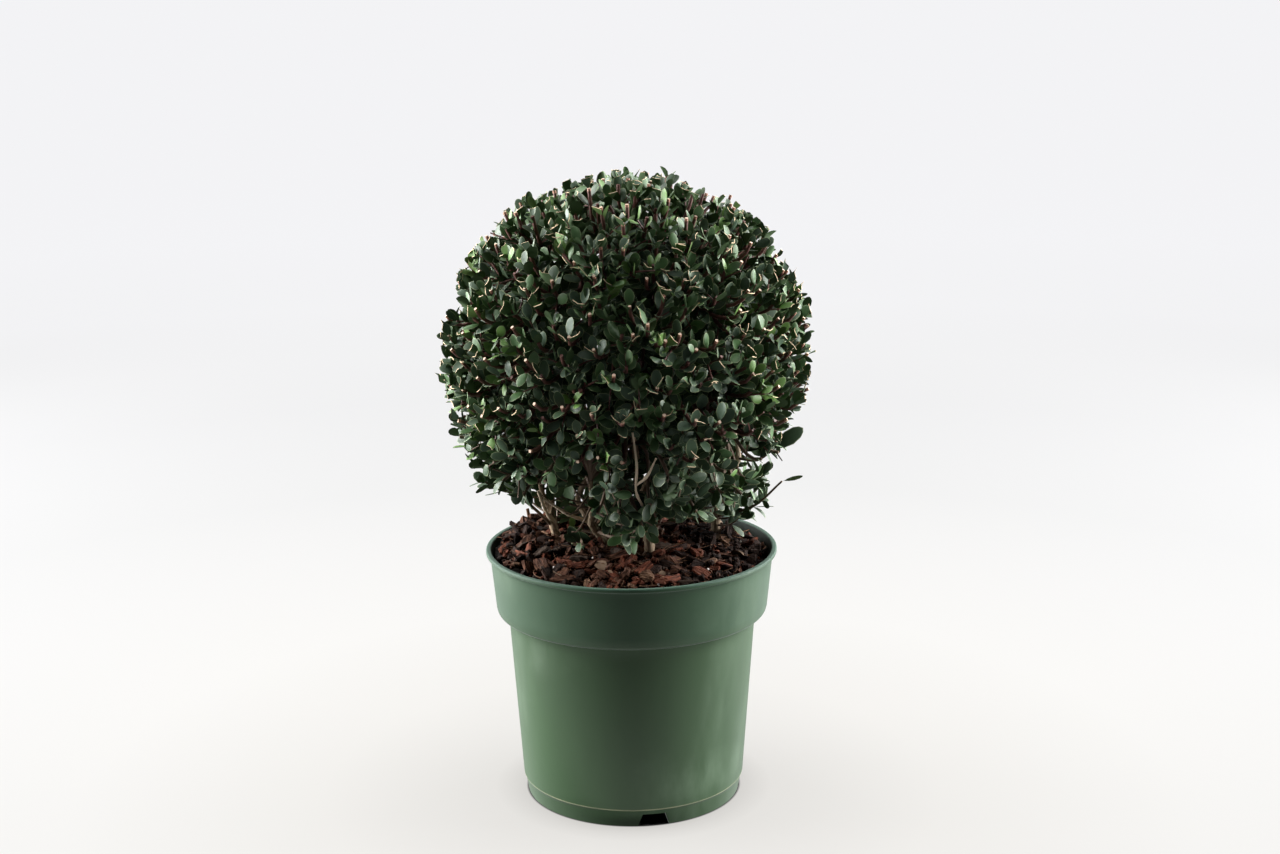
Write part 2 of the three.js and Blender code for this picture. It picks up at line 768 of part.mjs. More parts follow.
function growMass(mass, index) {
  const random = seeded(MASS_SEED + index);
  const leaves = [];
  const ways = waysOf(mass, SHOOTS.count, SHOOTS.lastPolar);
  const shoots = ways.map((way) => growShoot(mass, way, leaves, random));
  for (const { azimuth, polar } of waysOf(mass, SPURS.count, SPURS.lastPolar)) {
    const unit = direction(azimuth, polar);
    const root = CROWN.centre.clone().addScaledVector(unit, SPURS.rootRadius);
    addLeaf(mass, root, unit, between(SPURS.lift, random()), random() * 2 * Math.PI, leaves, random);
  }
  const grown = [coreOf(mass), massStem(mass), ...shoots.filter(Boolean), ...leaves];
  return wholeBody(wasm.Manifold.union(grown));
}

// The plant in its pot

const plant = new THREE.Group();
plant.name = "potted_holly_ball";
plant.add(meshOf("pot", pot(), "pot"), meshOf("potting_mix", pottingMix(), "mix"));
for (const stem of [...stems, middleStem]) {
  plant.add(meshOf(`stem_${stem.name}`, stem.solid, "bark"));
}
stems.forEach(({ name }, i) => {
  plant.add(meshOf(`bough_lower_${name}`, lowerBoughs[i].solid, "bark"));
  plant.add(meshOf(`bough_upper_${name}`, upperBoughs[i].solid, "bark"));
});
plant.add(meshOf("bough_leader", leader.solid, "bark"));
for (const sprig of sprigs) {
  plant.add(meshOf(`sprig_${sprig.name}`, sprig.solid, "foliage"));
}
masses.forEach((mass, i) => {
  plant.add(meshOf(mass.name, growMass(mass, i), "foliage"));
});

export default plant;
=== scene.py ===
"""Looks of a Japanese holly that is clipped to a ball and grows in a round nursery pot.

Sizes are in millimetres and turn into metres when a mesh is made. +Z is up, the pot's axis
is the Z axis, its front faces -Y and it stands on Z = 0. Azimuths are degrees from +X
towards +Y, and polar angles are degrees down from the top of the crown.
"""

import logging
import math
from dataclasses import dataclass, field, replace
from enum import Enum, IntEnum
from typing import Self

import bpy
import numpy as np
from mathutils import Matrix, Vector
from numpy.typing import NDArray


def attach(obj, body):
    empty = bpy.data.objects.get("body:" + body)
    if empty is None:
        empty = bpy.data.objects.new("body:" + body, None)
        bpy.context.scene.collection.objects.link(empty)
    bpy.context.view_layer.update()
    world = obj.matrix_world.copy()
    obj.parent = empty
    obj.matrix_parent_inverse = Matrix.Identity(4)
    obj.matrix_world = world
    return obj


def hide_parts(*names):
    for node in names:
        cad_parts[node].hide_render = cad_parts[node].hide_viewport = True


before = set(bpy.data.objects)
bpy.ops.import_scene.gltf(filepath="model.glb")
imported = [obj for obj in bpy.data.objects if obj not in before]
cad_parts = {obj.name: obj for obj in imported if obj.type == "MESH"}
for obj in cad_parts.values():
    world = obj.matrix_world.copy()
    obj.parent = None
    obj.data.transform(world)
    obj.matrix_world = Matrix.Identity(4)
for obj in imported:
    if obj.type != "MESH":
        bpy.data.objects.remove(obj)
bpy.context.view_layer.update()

LOG = logging.getLogger("holly_ball")

Floats = NDArray[np.float64]
Ints = NDArray[np.int64]
Mask = NDArray[np.bool_]
Random = np.random.Generator
Span = tuple[float, float]
Point = tuple[float, float, float]
Colour = tuple[float, float, float]
Stops = tuple[float, float, float, float]
Block = tuple[Ints, Ints | int]  # faces with the same number of corners, and their slots
Material = bpy.types.Material
Node = bpy.types.Node
Socket = bpy.types.NodeSocket
Tree = bpy.types.NodeTree

MM = 0.001
BODY = "root"
SPIRAL = 2.399963  # radians from one leaf or shoot to the next
STEEP = 0.9  # rise from which an axis is too upright to have a level side
CURVE_STEPS = 40  # points of a smooth curve from knot to knot
CHART_RADIUS = 3.0  # millimetres of a rod's chart for each radian round it
UP = np.array([0.0, 0.0, 1.0])


class Slot(Enum):
    """Material slots of the record."""

    POT = "pot_plastic"
    MULCH = "bark_mulch"
    BARK = "stem_bark"
    LEAF = "leaf_green"


# Vectors and curves


def unit(vectors: Floats) -> Floats:
    """Vectors scaled to length 1 along their last axis."""
    return vectors / np.maximum(np.linalg.norm(vectors, axis=-1, keepdims=True), 1e-9)


def direction(azimuth: float | Floats, polar: float | Floats) -> Floats:
    """Unit vectors at azimuths and polar angles in degrees, on a new last axis."""
    turn, tilt = np.radians(azimuth), np.radians(polar)
    level = np.sin(tilt)
    return np.stack([level * np.cos(turn), level * np.sin(turn), np.cos(tilt) + 0 * turn], axis=-1)


def spread(count: int, last_polar: float) -> Floats:
    """Even directions from the top down to a polar angle.

    Heights fall in equal steps from 1 to the cosine of the last polar angle, and each
    direction is turned on from the one before by the golden angle.

    Args:
        count: How many directions.
        last_polar: Polar angle of the lowest one, in degrees.

    Returns:
        Unit vectors, one a row.
    """
    number = np.arange(count)
    height = 1 + (np.cos(np.radians(last_polar)) - 1) * (number + 0.5) / count
    return direction(np.degrees(number * SPIRAL), np.degrees(np.arccos(height)))


def full_turn(count: int) -> Floats:
    """Even angles round a full turn, in radians."""
    return np.linspace(0, 2 * np.pi, count, endpoint=False)


def square_to(vectors: Floats, axes: Floats) -> Floats:
    """Unit vectors made square to axes."""
    return unit(vectors - axes * (vectors * axes).sum(axis=-1, keepdims=True))


def across(axes: Floats, turns: Floats) -> Floats:
    """Unit vectors across axes, turned from level, or from across X where an axis is steep.

    Args:
        axes: Unit vectors.
        turns: Angle round each axis in radians.

    Returns:
        The unit vectors.
    """
    helper = np.where(np.abs(axes[..., 2:3]) < STEEP, UP, np.array([1.0, 0.0, 0.0]))
    first = unit(np.cross(helper, axes))
    return first * np.cos(turns)[..., None] + np.cross(axes, first) * np.sin(turns)[..., None]


def run_along(paths: Floats) -> Floats:
    """Distance of each point from the start of its path."""
    steps = np.linalg.norm(np.diff(paths, axis=-2), axis=-1)
    return np.concatenate([np.zeros((*steps.shape[:-1], 1)), np.cumsum(steps, axis=-1)], axis=-1)


def smooth_curve(knots: list[Floats] | Floats, count: int) -> Floats:
    """A smooth curve through knots, as evenly spaced points.

    Each span is a cubic whose end slopes come from the knots on both sides, spaced by the
    square root of their distance (a centripetal Catmull-Rom spline).

    Args:
        knots: Points that the curve passes through, in order.
        count: How many points to return.

    Returns:
        Points along the curve at equal distances, one a row.
    """
    points = np.asarray(knots, float)
    ends = np.vstack([2 * points[0] - points[1], points, 2 * points[-1] - points[-2]])
    gap = np.sqrt(np.linalg.norm(np.diff(ends, axis=0), axis=1))[:, None]
    step = np.diff(ends, axis=0) / gap
    wide = (ends[2:] - ends[:-2]) / (gap[1:] + gap[:-1])
    slope = step[:-1] - wide + step[1:]
    first, last = points[:-1, None], points[1:, None]
    out, into = (slope[:-1] * gap[1:-1])[:, None], (slope[1:] * gap[1:-1])[:, None]
    t = np.linspace(0, 1, CURVE_STEPS)[None, :, None]
    spans = first + out * t + (3 * (last - first) - 2 * out - into) * t**2
    spans = spans + (2 * (first - last) + out + into) * t**3
    dense = np.vstack([spans[:, :-1].reshape(-1, 3), points[-1:]])
    run = run_along(dense)
    place = np.linspace(0, run[-1], count)
    return np.stack([np.interp(place, run, dense[:, axis]) for axis in range(3)], axis=1)


def arcs(start: Floats, leave: Floats, arrive: Floats, end: Floats, count: int) -> Floats:
    """Cubic Bezier curves, one a row, as points from their starts to their ends."""
    t = np.linspace(0, 1, count)[None, :, None]
    near = (1 - t) ** 3 * start[:, None] + 3 * t * (1 - t) ** 2 * leave[:, None]
    return near + 3 * t**2 * (1 - t) * arrive[:, None] + t**3 * end[:, None]


def along(paths: Floats, shares: Floats) -> tuple[Floats, Floats]:
    """Points and headings on paths at shares of their length.

    Args:
        paths: Points of each path, by path and step.
        shares: Shares of the length from 0 to 1, by path and place.

    Returns:
        The points and the unit headings there, by path and place.
    """
    steps = paths.shape[1] - 1
    place = np.clip(shares, 0, 1) * steps
    low = np.minimum(place.astype(int), steps - 1)
    rows = np.arange(len(paths))[:, None]
    start, end = paths[rows, low], paths[rows, low + 1]
    return start + (end - start) * (place - low)[..., None], unit(end - start)


# Meshes


@dataclass
class Arrays:
    """Whole arrays that belong together."""

    def pick(self, chosen: Mask | Ints | slice) -> Self:
        """The rows that a mask, a list of numbers or a slice chooses."""
        return type(self)(*(getattr(self, name)[chosen] for name in self.__dataclass_fields__))

    @classmethod
    def joined(cls, parts: list[Self]) -> Self:
        """The arrays of several sets, end to end."""
        names = cls.__dataclass_fields__
        return cls(*(np.concatenate([getattr(part, name) for part in parts]) for name in names))


@dataclass
class FaceSet(Arrays):
    """Points and faces of a mesh as whole arrays."""

    points: Floats
    corners: Ints  # point numbers, one face after another
    sizes: Ints  # corners of each face
    slots: Ints
    chart: Floats  # flat place of each point, for grain that follows a piece

    @classmethod
    def of(cls, points: Floats, faces: list[Block], chart: Floats | None = None) -> Self:
        """Makes a set from blocks of faces.

        Args:
            points: Corner points.
            faces: Blocks of faces, one face a row, each with its slot or slots.
            chart: Flat places of the points, or nothing for a plain piece.

        Returns:
            The set.
        """
        blocks = [block.reshape(-1, block.shape[-1]) for block, _ in faces]
        slots = [np.broadcast_to(slot, len(block)) for block, (_, slot) in zip(blocks, faces)]
        return cls(
            points,
            np.concatenate([block.ravel() for block in blocks]),
            np.concatenate([np.full(len(block), block.shape[1]) for block in blocks]),
            np.concatenate(slots),
            points[:, :2] if chart is None else chart,
        )

    @classmethod
    def joined(cls, parts: list[Self]) -> Self:
        """Several sets as one, with their point numbers moved on."""
        shift = np.cumsum([0] + [len(part.points) for part in parts[:-1]])
        return super().joined([replace(part, corners=part.corners + by) for part, by in zip(parts, shift)])

    def as_object(self, name: str, materials: list[Material], crease: float) -> bpy.types.Object:
        """Puts the arrays into a new object at the origin.

        Args:
            name: Name of the object and its mesh.
            materials: Materials in the order of the slots.
            crease: Angle in degrees from which an edge stays crisp; 0 keeps every face flat.

        Returns:
            The object, linked to the scene.
        """
        mesh = bpy.data.meshes.new(name)
        mesh.vertices.add(len(self.points))
        mesh.vertices.foreach_set("co", (self.points * MM).astype(np.float32).ravel())
        mesh.loops.add(len(self.corners))
        mesh.loops.foreach_set("vertex_index", self.corners.astype(np.int32))
        mesh.polygons.add(len(self.sizes))
        starts = np.cumsum(self.sizes) - self.sizes
        mesh.polygons.foreach_set("loop_start", starts.astype(np.int32))
        mesh.polygons.foreach_set("material_index", self.slots.astype(np.int32))
        mesh.polygons.foreach_set("use_smooth", np.full(len(self.sizes), crease > 0))
        mesh.update(calc_edges=True)
        chart = mesh.uv_layers.new(name="chart")
        chart.data.foreach_set("uv", (self.chart[self.corners] * MM).astype(np.float32).ravel())
        for material in materials:
            mesh.materials.append(material)
        if crease > 0:
            mesh.set_sharp_from_angle(angle=math.radians(crease))
        return new_object(name, mesh)


def new_object(name: str, data: bpy.types.ID) -> bpy.types.Object:
    """A new object at the origin, linked to the scene."""
    made = bpy.data.objects.new(name, data)
    bpy.context.scene.collection.objects.link(made)
    return made


def publish(piece: bpy.types.Object, slot: Slot, *nodes: str) -> None:
    """Ties a finished piece to the part and reports it.

    Args:
        piece: The new object.
        slot: Slot of the record; not used.
        nodes: Solids that it stands for.
    """
    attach(piece, BODY)
    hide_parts(*nodes)
    triangles = len(piece.data.loops) - 2 * len(piece.data.polygons)
    LOG.info("%s: %d triangles, stands for %s", piece.name, triangles, ", ".join(nodes))


def joined_up(*corners: Ints | int) -> Ints:
    """Faces as rows of point numbers, from the numbers of each corner."""
    return np.stack(np.broadcast_arrays(*corners), axis=-1)


def grid(rows: int, columns: int) -> Ints:
    """Corner numbers of the quads of a grid that is closed round its columns.

    Args:
        rows: Rows of points.
        columns: Points in a row.

    Returns:
        Four corners by row and column, facing out where columns turn left and rows go up.
    """
    row = np.arange(rows - 1)[:, None] * columns
    here = np.arange(columns)[None]
    onward = (here + 1) % columns
    return joined_up(row + here, row + onward, row + columns + onward, row + columns + here)


@dataclass(frozen=True)
class RodSlots:
    """Material slots of a rod: its bark, its last step and the cut across its tip."""

    bark: int = 0
    young: int = 0
    cut: int = 0

    @classmethod
    def plain(cls, slot: int) -> Self:
        """One slot all over."""
        return cls(slot, slot, slot)


def rods(paths: Floats, radii: Floats, sides: int, slots: RodSlots) -> FaceSet:
    """Round rods along paths, closed at both ends.

    A point is the path's point plus the radius there times the cosine and sine of its turn
    along two directions across the path.

    Args:
        paths: Points of each path, by path and step.
        radii: Radius at each point, or at each point and side for a rough rod.
        sides: Points round the rod.
        slots: Material slots.

    Returns:
        All the rods as one set.
    """
    count, steps = paths.shape[:2]
    heading = unit(np.gradient(paths, axis=1))
    overall = unit(paths[:, -1] - paths[:, 0])[:, None]
    first = unit(np.cross(heading, across(overall, np.zeros((count, 1)))))
    second = np.cross(heading, first)
    turn = full_turn(sides)
    reach = radii[..., None] if radii.ndim == 2 else radii
    reach = np.broadcast_to(reach, (count, steps, sides))[..., None]
    ring = first[:, :, None] * np.cos(turn)[:, None] + second[:, :, None] * np.sin(turn)[:, None]
    points = (paths[:, :, None] + ring * reach).reshape(count, -1, 3)
    points = np.concatenate([points, paths[:, [0, -1]]], axis=1)
    shift = (np.arange(count) * points.shape[1])[:, None, None]
    walls = grid(steps, sides)
    kinds = np.full(walls.shape[:2], slots.bark)
    kinds[-1] = slots.young
    here = np.arange(sides)
    onward = (here + 1) % sides
    last = (steps - 1) * sides
    foot = joined_up(onward, here, steps * sides)
    tip = joined_up(last + here, last + onward, steps * sides + 1)
    chart = np.stack(np.broadcast_arrays(run_along(paths)[..., None], turn * CHART_RADIUS), axis=-1)
    chart = np.concatenate([chart.reshape(count, -1, 2), np.zeros((count, 2, 2))], axis=1)
    faces = [
        (walls.reshape(1, -1, 4) + shift, np.tile(kinds.ravel(), count)),
        (foot + shift, slots.bark),
        (tip + shift, slots.cut),
    ]
    return FaceSet.of(points.reshape(-1, 3), faces, chart.reshape(-1, 2))


# Shader effects and finishes


def metres(sizes: tuple[float, ...]) -> tuple[float, ...]:
    """Sizes in millimetres turned into metres."""
    return tuple(size * MM for size in sizes)


class Wiring:
    """Adds nodes to one node tree and joins their sockets."""

    def __init__(self, tree: Tree) -> None:
        """Keeps the tree that the nodes go into."""
        self.tree = tree

    def feed(self, socket: Socket, value: Socket | Colour | float) -> None:
        """Joins an input to an output, or sets its number or colour.

        Args:
            socket: The input.
            value: What feeds or fills it.
        """
        if isinstance(value, Socket):
            self.tree.links.new(value, socket)
        else:
            socket.default_value = (*value, 1.0) if isinstance(value, tuple) else value

    def fill(self, node: Node, **inputs: object) -> Node:
        """Feeds a node's inputs.

        Args:
            node: The node.
            inputs: Input names, with _ for a space, and what feeds or fills them.

        Returns:
            The node.
        """
        for name, value in inputs.items():
            self.feed(node.inputs[name.replace("_", " ")], value)
        return node

    def add(self, kind: str, **inputs: object) -> Node:
        """Adds a node of a kind, named without the words that all shader nodes start with."""
        return self.fill(self.tree.nodes.new("ShaderNode" + kind), **inputs)

    def effect(self, group: Tree, **inputs: object) -> Socket:
        """Places a shared effect with its own values and returns its output."""
        made = self.add("Group")
        made.node_tree = group
        return self.fill(made, **inputs).outputs[0]

    def split(self, chart: str) -> bpy.types.NodeOutputs:
        """X, Y and Z of a kind of texture coordinates."""
        return self.add("SeparateXYZ", Vector=self.add("TexCoord").outputs[chart]).outputs

    def ramp(self, value: Socket, low: Socket | float, high: Socket | float) -> Socket:
        """A mask that goes from 0 to 1 as a value goes from low to high."""
        return self.add("MapRange", Value=value, From_Min=low, From_Max=high).outputs[0]

    def between(self, mask: Socket, low: float, high: float) -> Socket:
        """A value that goes from low to high with a mask."""
        return self.add("MapRange", Value=mask, To_Min=low, To_Max=high).outputs[0]

    def band(self, value: Socket, stops: Stops) -> Socket:
        """A mask that rises from the first stop to the second and falls from the third to the last."""
        start, full, fading, end = stops
        return self.times(self.ramp(value, start, full), self.ramp(value, end, fading))

    def mix(self, mask: Socket, first: Socket | Colour, second: Socket | Colour) -> Socket:
        """Goes from one colour to another.

        Args:
            mask: Share of the second colour.
            first: Colour where the mask is 0.
            second: Colour where it is 1.

        Returns:
            The colour.
        """
        made = self.add("Mix")
        made.data_type = "RGBA"
        ports = {port.identifier: port for port in (*made.inputs, *made.outputs)}
        for name, value in (("Factor_Float", mask), ("A_Color", first), ("B_Color", second)):
            self.feed(ports[name], value)
        return ports["Result_Color"]

    def math(self, operation: str, first: Socket, second: Socket | float) -> Socket:
        """Works out a value from two others.

        Args:
            operation: Operation of the Math node.
            first: One value.
            second: The other.

        Returns:
            The value.
        """
        made = self.add("Math")
        made.operation = operation
        self.feed(made.inputs[0], first)
        self.feed(made.inputs[1], second)
        return made.outputs[0]

    def sum(self, total: Socket, *others: Socket) -> Socket:
        """Values added up."""
        for other in others:
            total = self.math("ADD", total, other)
        return total

    def times(self, first: Socket, second: Socket | float) -> Socket:
        """Two values multiplied."""
        return self.math("MULTIPLY", first, second)

    def bump(self, shader: Node, height: Socket, strength: float, depth: float) -> None:
        """Gives a shader the relief of a height, at a depth in millimetres."""
        made = self.add("Bump", Strength=strength, Distance=depth * MM, Height=height)
        self.feed(shader.inputs["Normal"], made.outputs[0])


class Effects:
    """Shader effects that several finishes share, each built once as a node group."""

    def __init__(self) -> None:
        """Builds the groups."""
        self.mottle = self._mottle()
        self.relief = self._relief()
        self.grain = self._grain()

    @staticmethod
    def _start(name: str, output: str, *inputs: str) -> tuple[Wiring, bpy.types.NodeOutputs, Socket]:
        """Starts a group of numbers.

        Args:
            name: Name of the group.
            output: Name of its output.
            inputs: Names of its inputs.

        Returns:
            The wiring of its tree, what its inputs give and the socket of its output.
        """
        tree = bpy.data.node_groups.new(name, "ShaderNodeTree")
        for label in inputs:
            tree.interface.new_socket(label, in_out="INPUT", socket_type="NodeSocketFloat")
        tree.interface.new_socket(output, in_out="OUTPUT", socket_type="NodeSocketFloat")
        result = tree.nodes.new("NodeGroupOutput").inputs[0]
        return Wiring(tree), tree.nodes.new("NodeGroupInput").outputs, result

    def _mottle(self) -> Tree:
        """Makes soft patches over the surface, stretched upwards by a factor.

        Returns:
            The group.
        """
        wiring, given, result = self._start("mottle", "Mask", "Scale", "Tall", "Low", "High")
        x, y, z = wiring.split("Object")
        where = wiring.add("CombineXYZ", X=x, Y=y, Z=wiring.times(z, given["Tall"]))
        noise = wiring.add("TexNoise", Vector=where.outputs[0], Scale=given["Scale"], Detail=4.0)
        wiring.feed(result, wiring.ramp(noise.outputs[0], given["Low"], given["High"]))
        return wiring.tree

    def _relief(self) -> Tree:
        """Makes bumps of two sizes over the surface, the fine ones by a share.

        Returns:
            The group.
        """
        wiring, given, result = self._start("relief", "Height", "Coarse", "Fine", "Fine Share")
        place = wiring.add("TexCoord").outputs["Object"]
        coarse, fine = (
            wiring.add("TexNoise", Vector=place, Scale=given[size], Detail=2.0).outputs[0]
            for size in ("Coarse", "Fine")
        )
        wiring.feed(result, wiring.sum(coarse, wiring.times(fine, given["Fine Share"])))
        return wiring.tree

    def _grain(self) -> Tree:
        """Makes fibres that run along a piece by its own chart: close across it, long along it.

        Returns:
            The group.
        """
        wiring, given, result = self._start("grain", "Mask", "Along", "Across")
        x, y, _ = wiring.split("UV")
        run, wide = wiring.times(x, given["Along"]), wiring.times(y, given["Across"])
        where = wiring.add("CombineXYZ", X=run, Y=wide).outputs[0]
        noise = wiring.add("TexNoise", Vector=where, Scale=1.0, Detail=3.0, Roughness=0.6)
        wiring.feed(result, wiring.ramp(noise.outputs[0], 0.36, 0.64))
        return wiring.tree


def new_material(name: str, **inputs: object) -> tuple[Material, Wiring, Node]:
    """A material with its wiring and its Principled shader.

    Args:
        name: Name of the material.
        inputs: The shader's inputs, with _ for a space, and what fills them.

    Returns:
        The material, the wiring of its tree and the shader node.
    """
    material = bpy.data.materials.new(name)
    material.use_nodes = True
    wiring = Wiring(material.node_tree)
    return material, wiring, wiring.fill(material.node_tree.nodes["Principled BSDF"], **inputs)


@dataclass(frozen=True)
class PlainFinish:
    """A finish of one colour with a surface that varies: leaves, young twigs, cut wood."""

    name: str
    colour: Colour
    roughness: Span  # of the smooth and of the dull patches
    bump: float
    specular: float

    def material(self, effects: Effects) -> Material:
        """Makes the material.

        Args:
            effects: The shared effects.

        Returns:
            The material.
        """
        material, wiring, shader = new_material(
            self.name, Base_Color=self.colour, Specular_IOR_Level=self.specular
        )
        patches = wiring.effect(effects.mottle, Scale=260.0, Tall=1.0, Low=0.35, High=0.65)
        wiring.fill(shader, Roughness=wiring.between(patches, *self.roughness))
        height = wiring.effect(effects.relief, Coarse=650.0, Fine=2400.0, Fine_Share=0.3)
        wiring.bump(shader, height, self.bump, 0.4)
        return material


@dataclass(frozen=True)
class FibreFinish:
    """A woody finish: two colours along its fibres, weathered in patches."""

    name: str
    dark: Colour  # in the grooves
    light: Colour  # on the ridges
    weathered: Colour  # in patches
    fibres: Span = (90.0, 900.0)  # per metre, along and across a piece
    relief: float = 0.9
    roughness: float = 0.85
    specular: float = 0.08
    patchy: float = 0.7  # share of the weathered colour
    gritty: float = 0.8  # share of the fine relief

    def material(self, effects: Effects) -> Material:
        """Makes the material.

        Args:
            effects: The shared effects.

        Returns:
            The material.
        """
        material, wiring, shader = new_material(
            self.name, Roughness=self.roughness, Specular_IOR_Level=self.specular
        )
        fibres = wiring.effect(effects.grain, Along=self.fibres[0], Across=self.fibres[1])
        patches = wiring.effect(effects.mottle, Scale=110.0, Tall=1.0, Low=0.42, High=0.68)
        wood = wiring.mix(fibres, self.dark, self.light)
        wiring.fill(shader, Base_Color=wiring.mix(wiring.times(patches, self.patchy), wood, self.weathered))
        grit = wiring.effect(effects.relief, Coarse=500.0, Fine=1900.0, Fine_Share=0.5)
        wiring.bump(shader, wiring.sum(fibres, wiring.times(grit, self.gritty)), 0.8, self.relief)
        return material


@dataclass(frozen=True)
class PotFinish:
    """Satin green plastic: flow marks, pale scuffs, a smear, dust, a pale moulding line, and a collar painted
    a little darker and cooler as shade.
    """

    name: str = "pot_green"
    green: Colour = (0.0248, 0.0585, 0.0200)
    deep: Colour = (0.0198, 0.0475, 0.0165)  # in the darker flow marks
    scuff: Colour = (0.100, 0.150, 0.095)
    roughness: Span = (0.4, 0.6)
    specular: float = 0.3
    dust: float = 0.13  # weight of the dust that shows at a low angle
    # Painted shade: the collar is the same plastic as the wall, coloured a little darker and cooler for the
    # floor's light that it misses.
    collar: Colour = (0.0225, 0.055, 0.0265)
    collar_from: Span = (148.0, 160.0)  # heights where the collar's painted shade starts and is full
    cool: float = 0.8  # share of the collar's painted shade colour
    line: Colour = (0.34, 0.35, 0.20)
    line_height: float = 14.2
    line_width: float = 1.0
    smear_lean: float = 0.22  # to the right, for each unit of height
    smear: Stops = (27.0, 36.0, 50.0, 64.0)  # to the right of the axis: start, full, fading, end
    rubbed: Stops = (18.0, 26.0, 38.0, 58.0)  # heights of the scuff near the foot
    front: Stops = (0.0, -30.0, -30.0, -1000.0)  # depths of both
    right: Span = (-10.0, 40.0)  # where the scuff starts and is full
    marked: float = 0.22  # share of smear and scuff
    worn: float = 0.4  # share of the patches elsewhere

    def material(self, effects: Effects) -> Material:
        """Makes the material.

        Args:
            effects: The shared effects.

        Returns:
            The material.
        """
        material, wiring, shader = new_material(
            self.name,
            Specular_IOR_Level=self.specular,
            Sheen_Weight=self.dust,
            Sheen_Roughness=0.45,
            Sheen_Tint=(0.95, 0.95, 1.0),
        )
        across_pot, depth, height = wiring.split("Object")
        flow = wiring.effect(effects.mottle, Scale=16.0, Tall=0.35, Low=0.35, High=0.68)
        # Painted shade: the collar's darker, cooler colour, full from a height.
        collar = wiring.times(wiring.ramp(height, *metres(self.collar_from)), self.cool)
        plastic = wiring.mix(collar, wiring.mix(flow, self.green, self.deep), self.collar)
        patches = wiring.effect(effects.mottle, Scale=9.0, Tall=1.6, Low=0.5, High=0.75)
        scratches = wiring.effect(effects.mottle, Scale=70.0, Tall=0.3, Low=0.3, High=0.7)
        front = wiring.band(depth, metres(self.front))
        leaning = wiring.sum(across_pot, wiring.times(height, -self.smear_lean))
        smear = wiring.times(wiring.band(leaning, metres(self.smear)), front)
        foot = wiring.times(wiring.band(height, metres(self.rubbed)), front)
        scuff = wiring.times(foot, wiring.ramp(across_pot, *metres(self.right)))
        marks = wiring.sum(wiring.times(smear, self.marked), wiring.times(scuff, self.marked))
        scuffs = wiring.times(wiring.sum(wiring.times(patches, self.worn), marks), scratches)
        low, high = self.line_height - self.line_width, self.line_height + self.line_width
        line = wiring.band(height, metres((low, self.line_height, self.line_height, high)))
        broken = wiring.effect(effects.mottle, Scale=60.0, Tall=1.0, Low=0.3, High=0.7)
        shown = wiring.times(line, wiring.between(broken, 0.5, 1.0))
        colour = wiring.mix(shown, wiring.mix(scuffs, plastic, self.scuff), self.line)
        dull = wiring.sum(wiring.times(flow, 0.4), wiring.times(scuffs, 0.6))
        wiring.fill(shader, Base_Color=colour, Roughness=wiring.between(dull, *self.roughness))
        skin = wiring.effect(effects.relief, Coarse=45.0, Fine=2600.0, Fine_Share=0.12)
        wiring.bump(shader, skin, 0.35, 0.5)
        return material


# Crown and limbs


@dataclass(frozen=True)
class Crown:
    """The clipped ball: its place, its shape and the surface that the shears left."""

    centre: Point = (-2.0, 0.0, 358.0)
    fullness: float = 2.3  # power of the outline below the middle; 2 is round
    shear: float = 143.5  # distance from the middle at which it is clipped
    wander: float = 2.4
    crest: float = 9.0  # how much lower the very top is clipped
    hang: Span = (224.0, 246.0)  # lowest leaves, round the stems and at the overhang
    hang_radius: Span = (58.0, 106.0)  # distances from the axis where these hold

    def away(self, points: Floats) -> Floats:
        """Directions of points from the ball's middle."""
        return unit(points - np.array(self.centre))

    def size(self, offsets: Floats) -> Floats:
        """Radius of the ball that passes through points given from its middle.

        It is the sum of the level and upright distances, each to a power, to the inverse
        power: 2 above the middle and a little more below it.

        Args:
            offsets: The points from the ball's middle.

        Returns:
            The radii.
        """
        power = np.where(offsets[..., 2] < 0, self.fullness, 2.0)
        level = np.linalg.norm(offsets[..., :2], axis=-1)
        return (level**power + np.abs(offsets[..., 2]) ** power) ** (1 / power)

    def clip(self, ways: Floats) -> Floats:
        """Radius of the clipped surface in each direction: a ball with slow waves on it."""
        x, y, z = np.moveaxis(ways, -1, 0)
        waves = np.sin(5.1 * x + 1.3) + np.sin(6.3 * y + 0.4) * np.cos(4.7 * z) + np.sin(9 * z - 7 * x)
        return self.shear + self.wander * waves / 2 - self.crest * np.clip((z - 0.8) / 0.2, 0, 1)

    def at(self, ways: Floats, size: float | Floats) -> Floats:
        """Points at a radius of the ball in each direction."""
        return np.array(self.centre) + ways * (size / self.size(ways))[..., None]

    def beyond(self, points: Floats) -> Floats:
        """How far points stand out of the clipped surface; negative is inside."""
        return self.size(points - np.array(self.centre)) - self.clip(self.away(points))

    def floor(self, points: Floats) -> Floats:
        """Height below which no leaf hangs at points."""
        return np.interp(np.linalg.norm(points[..., :2], axis=-1), self.hang_radius, self.hang)


@dataclass
class Limb:
    """A stem or bough: the node it stands for, its points and its radius at each."""

    node: str
    path: Floats
    radius: Floats


@dataclass
class Mass:
    """A mass of foliage: its name, the way it faces, and the limb's end that carries it."""

    name: str
    way: Floats
    tip: Floats
    heading: Floats


@dataclass(frozen=True)
class StemPlan:
    """Where a stem stands, where it forks and which way its lower foliage faces."""

    name: str
    foot: Span
    fork: Point
    azimuth: float


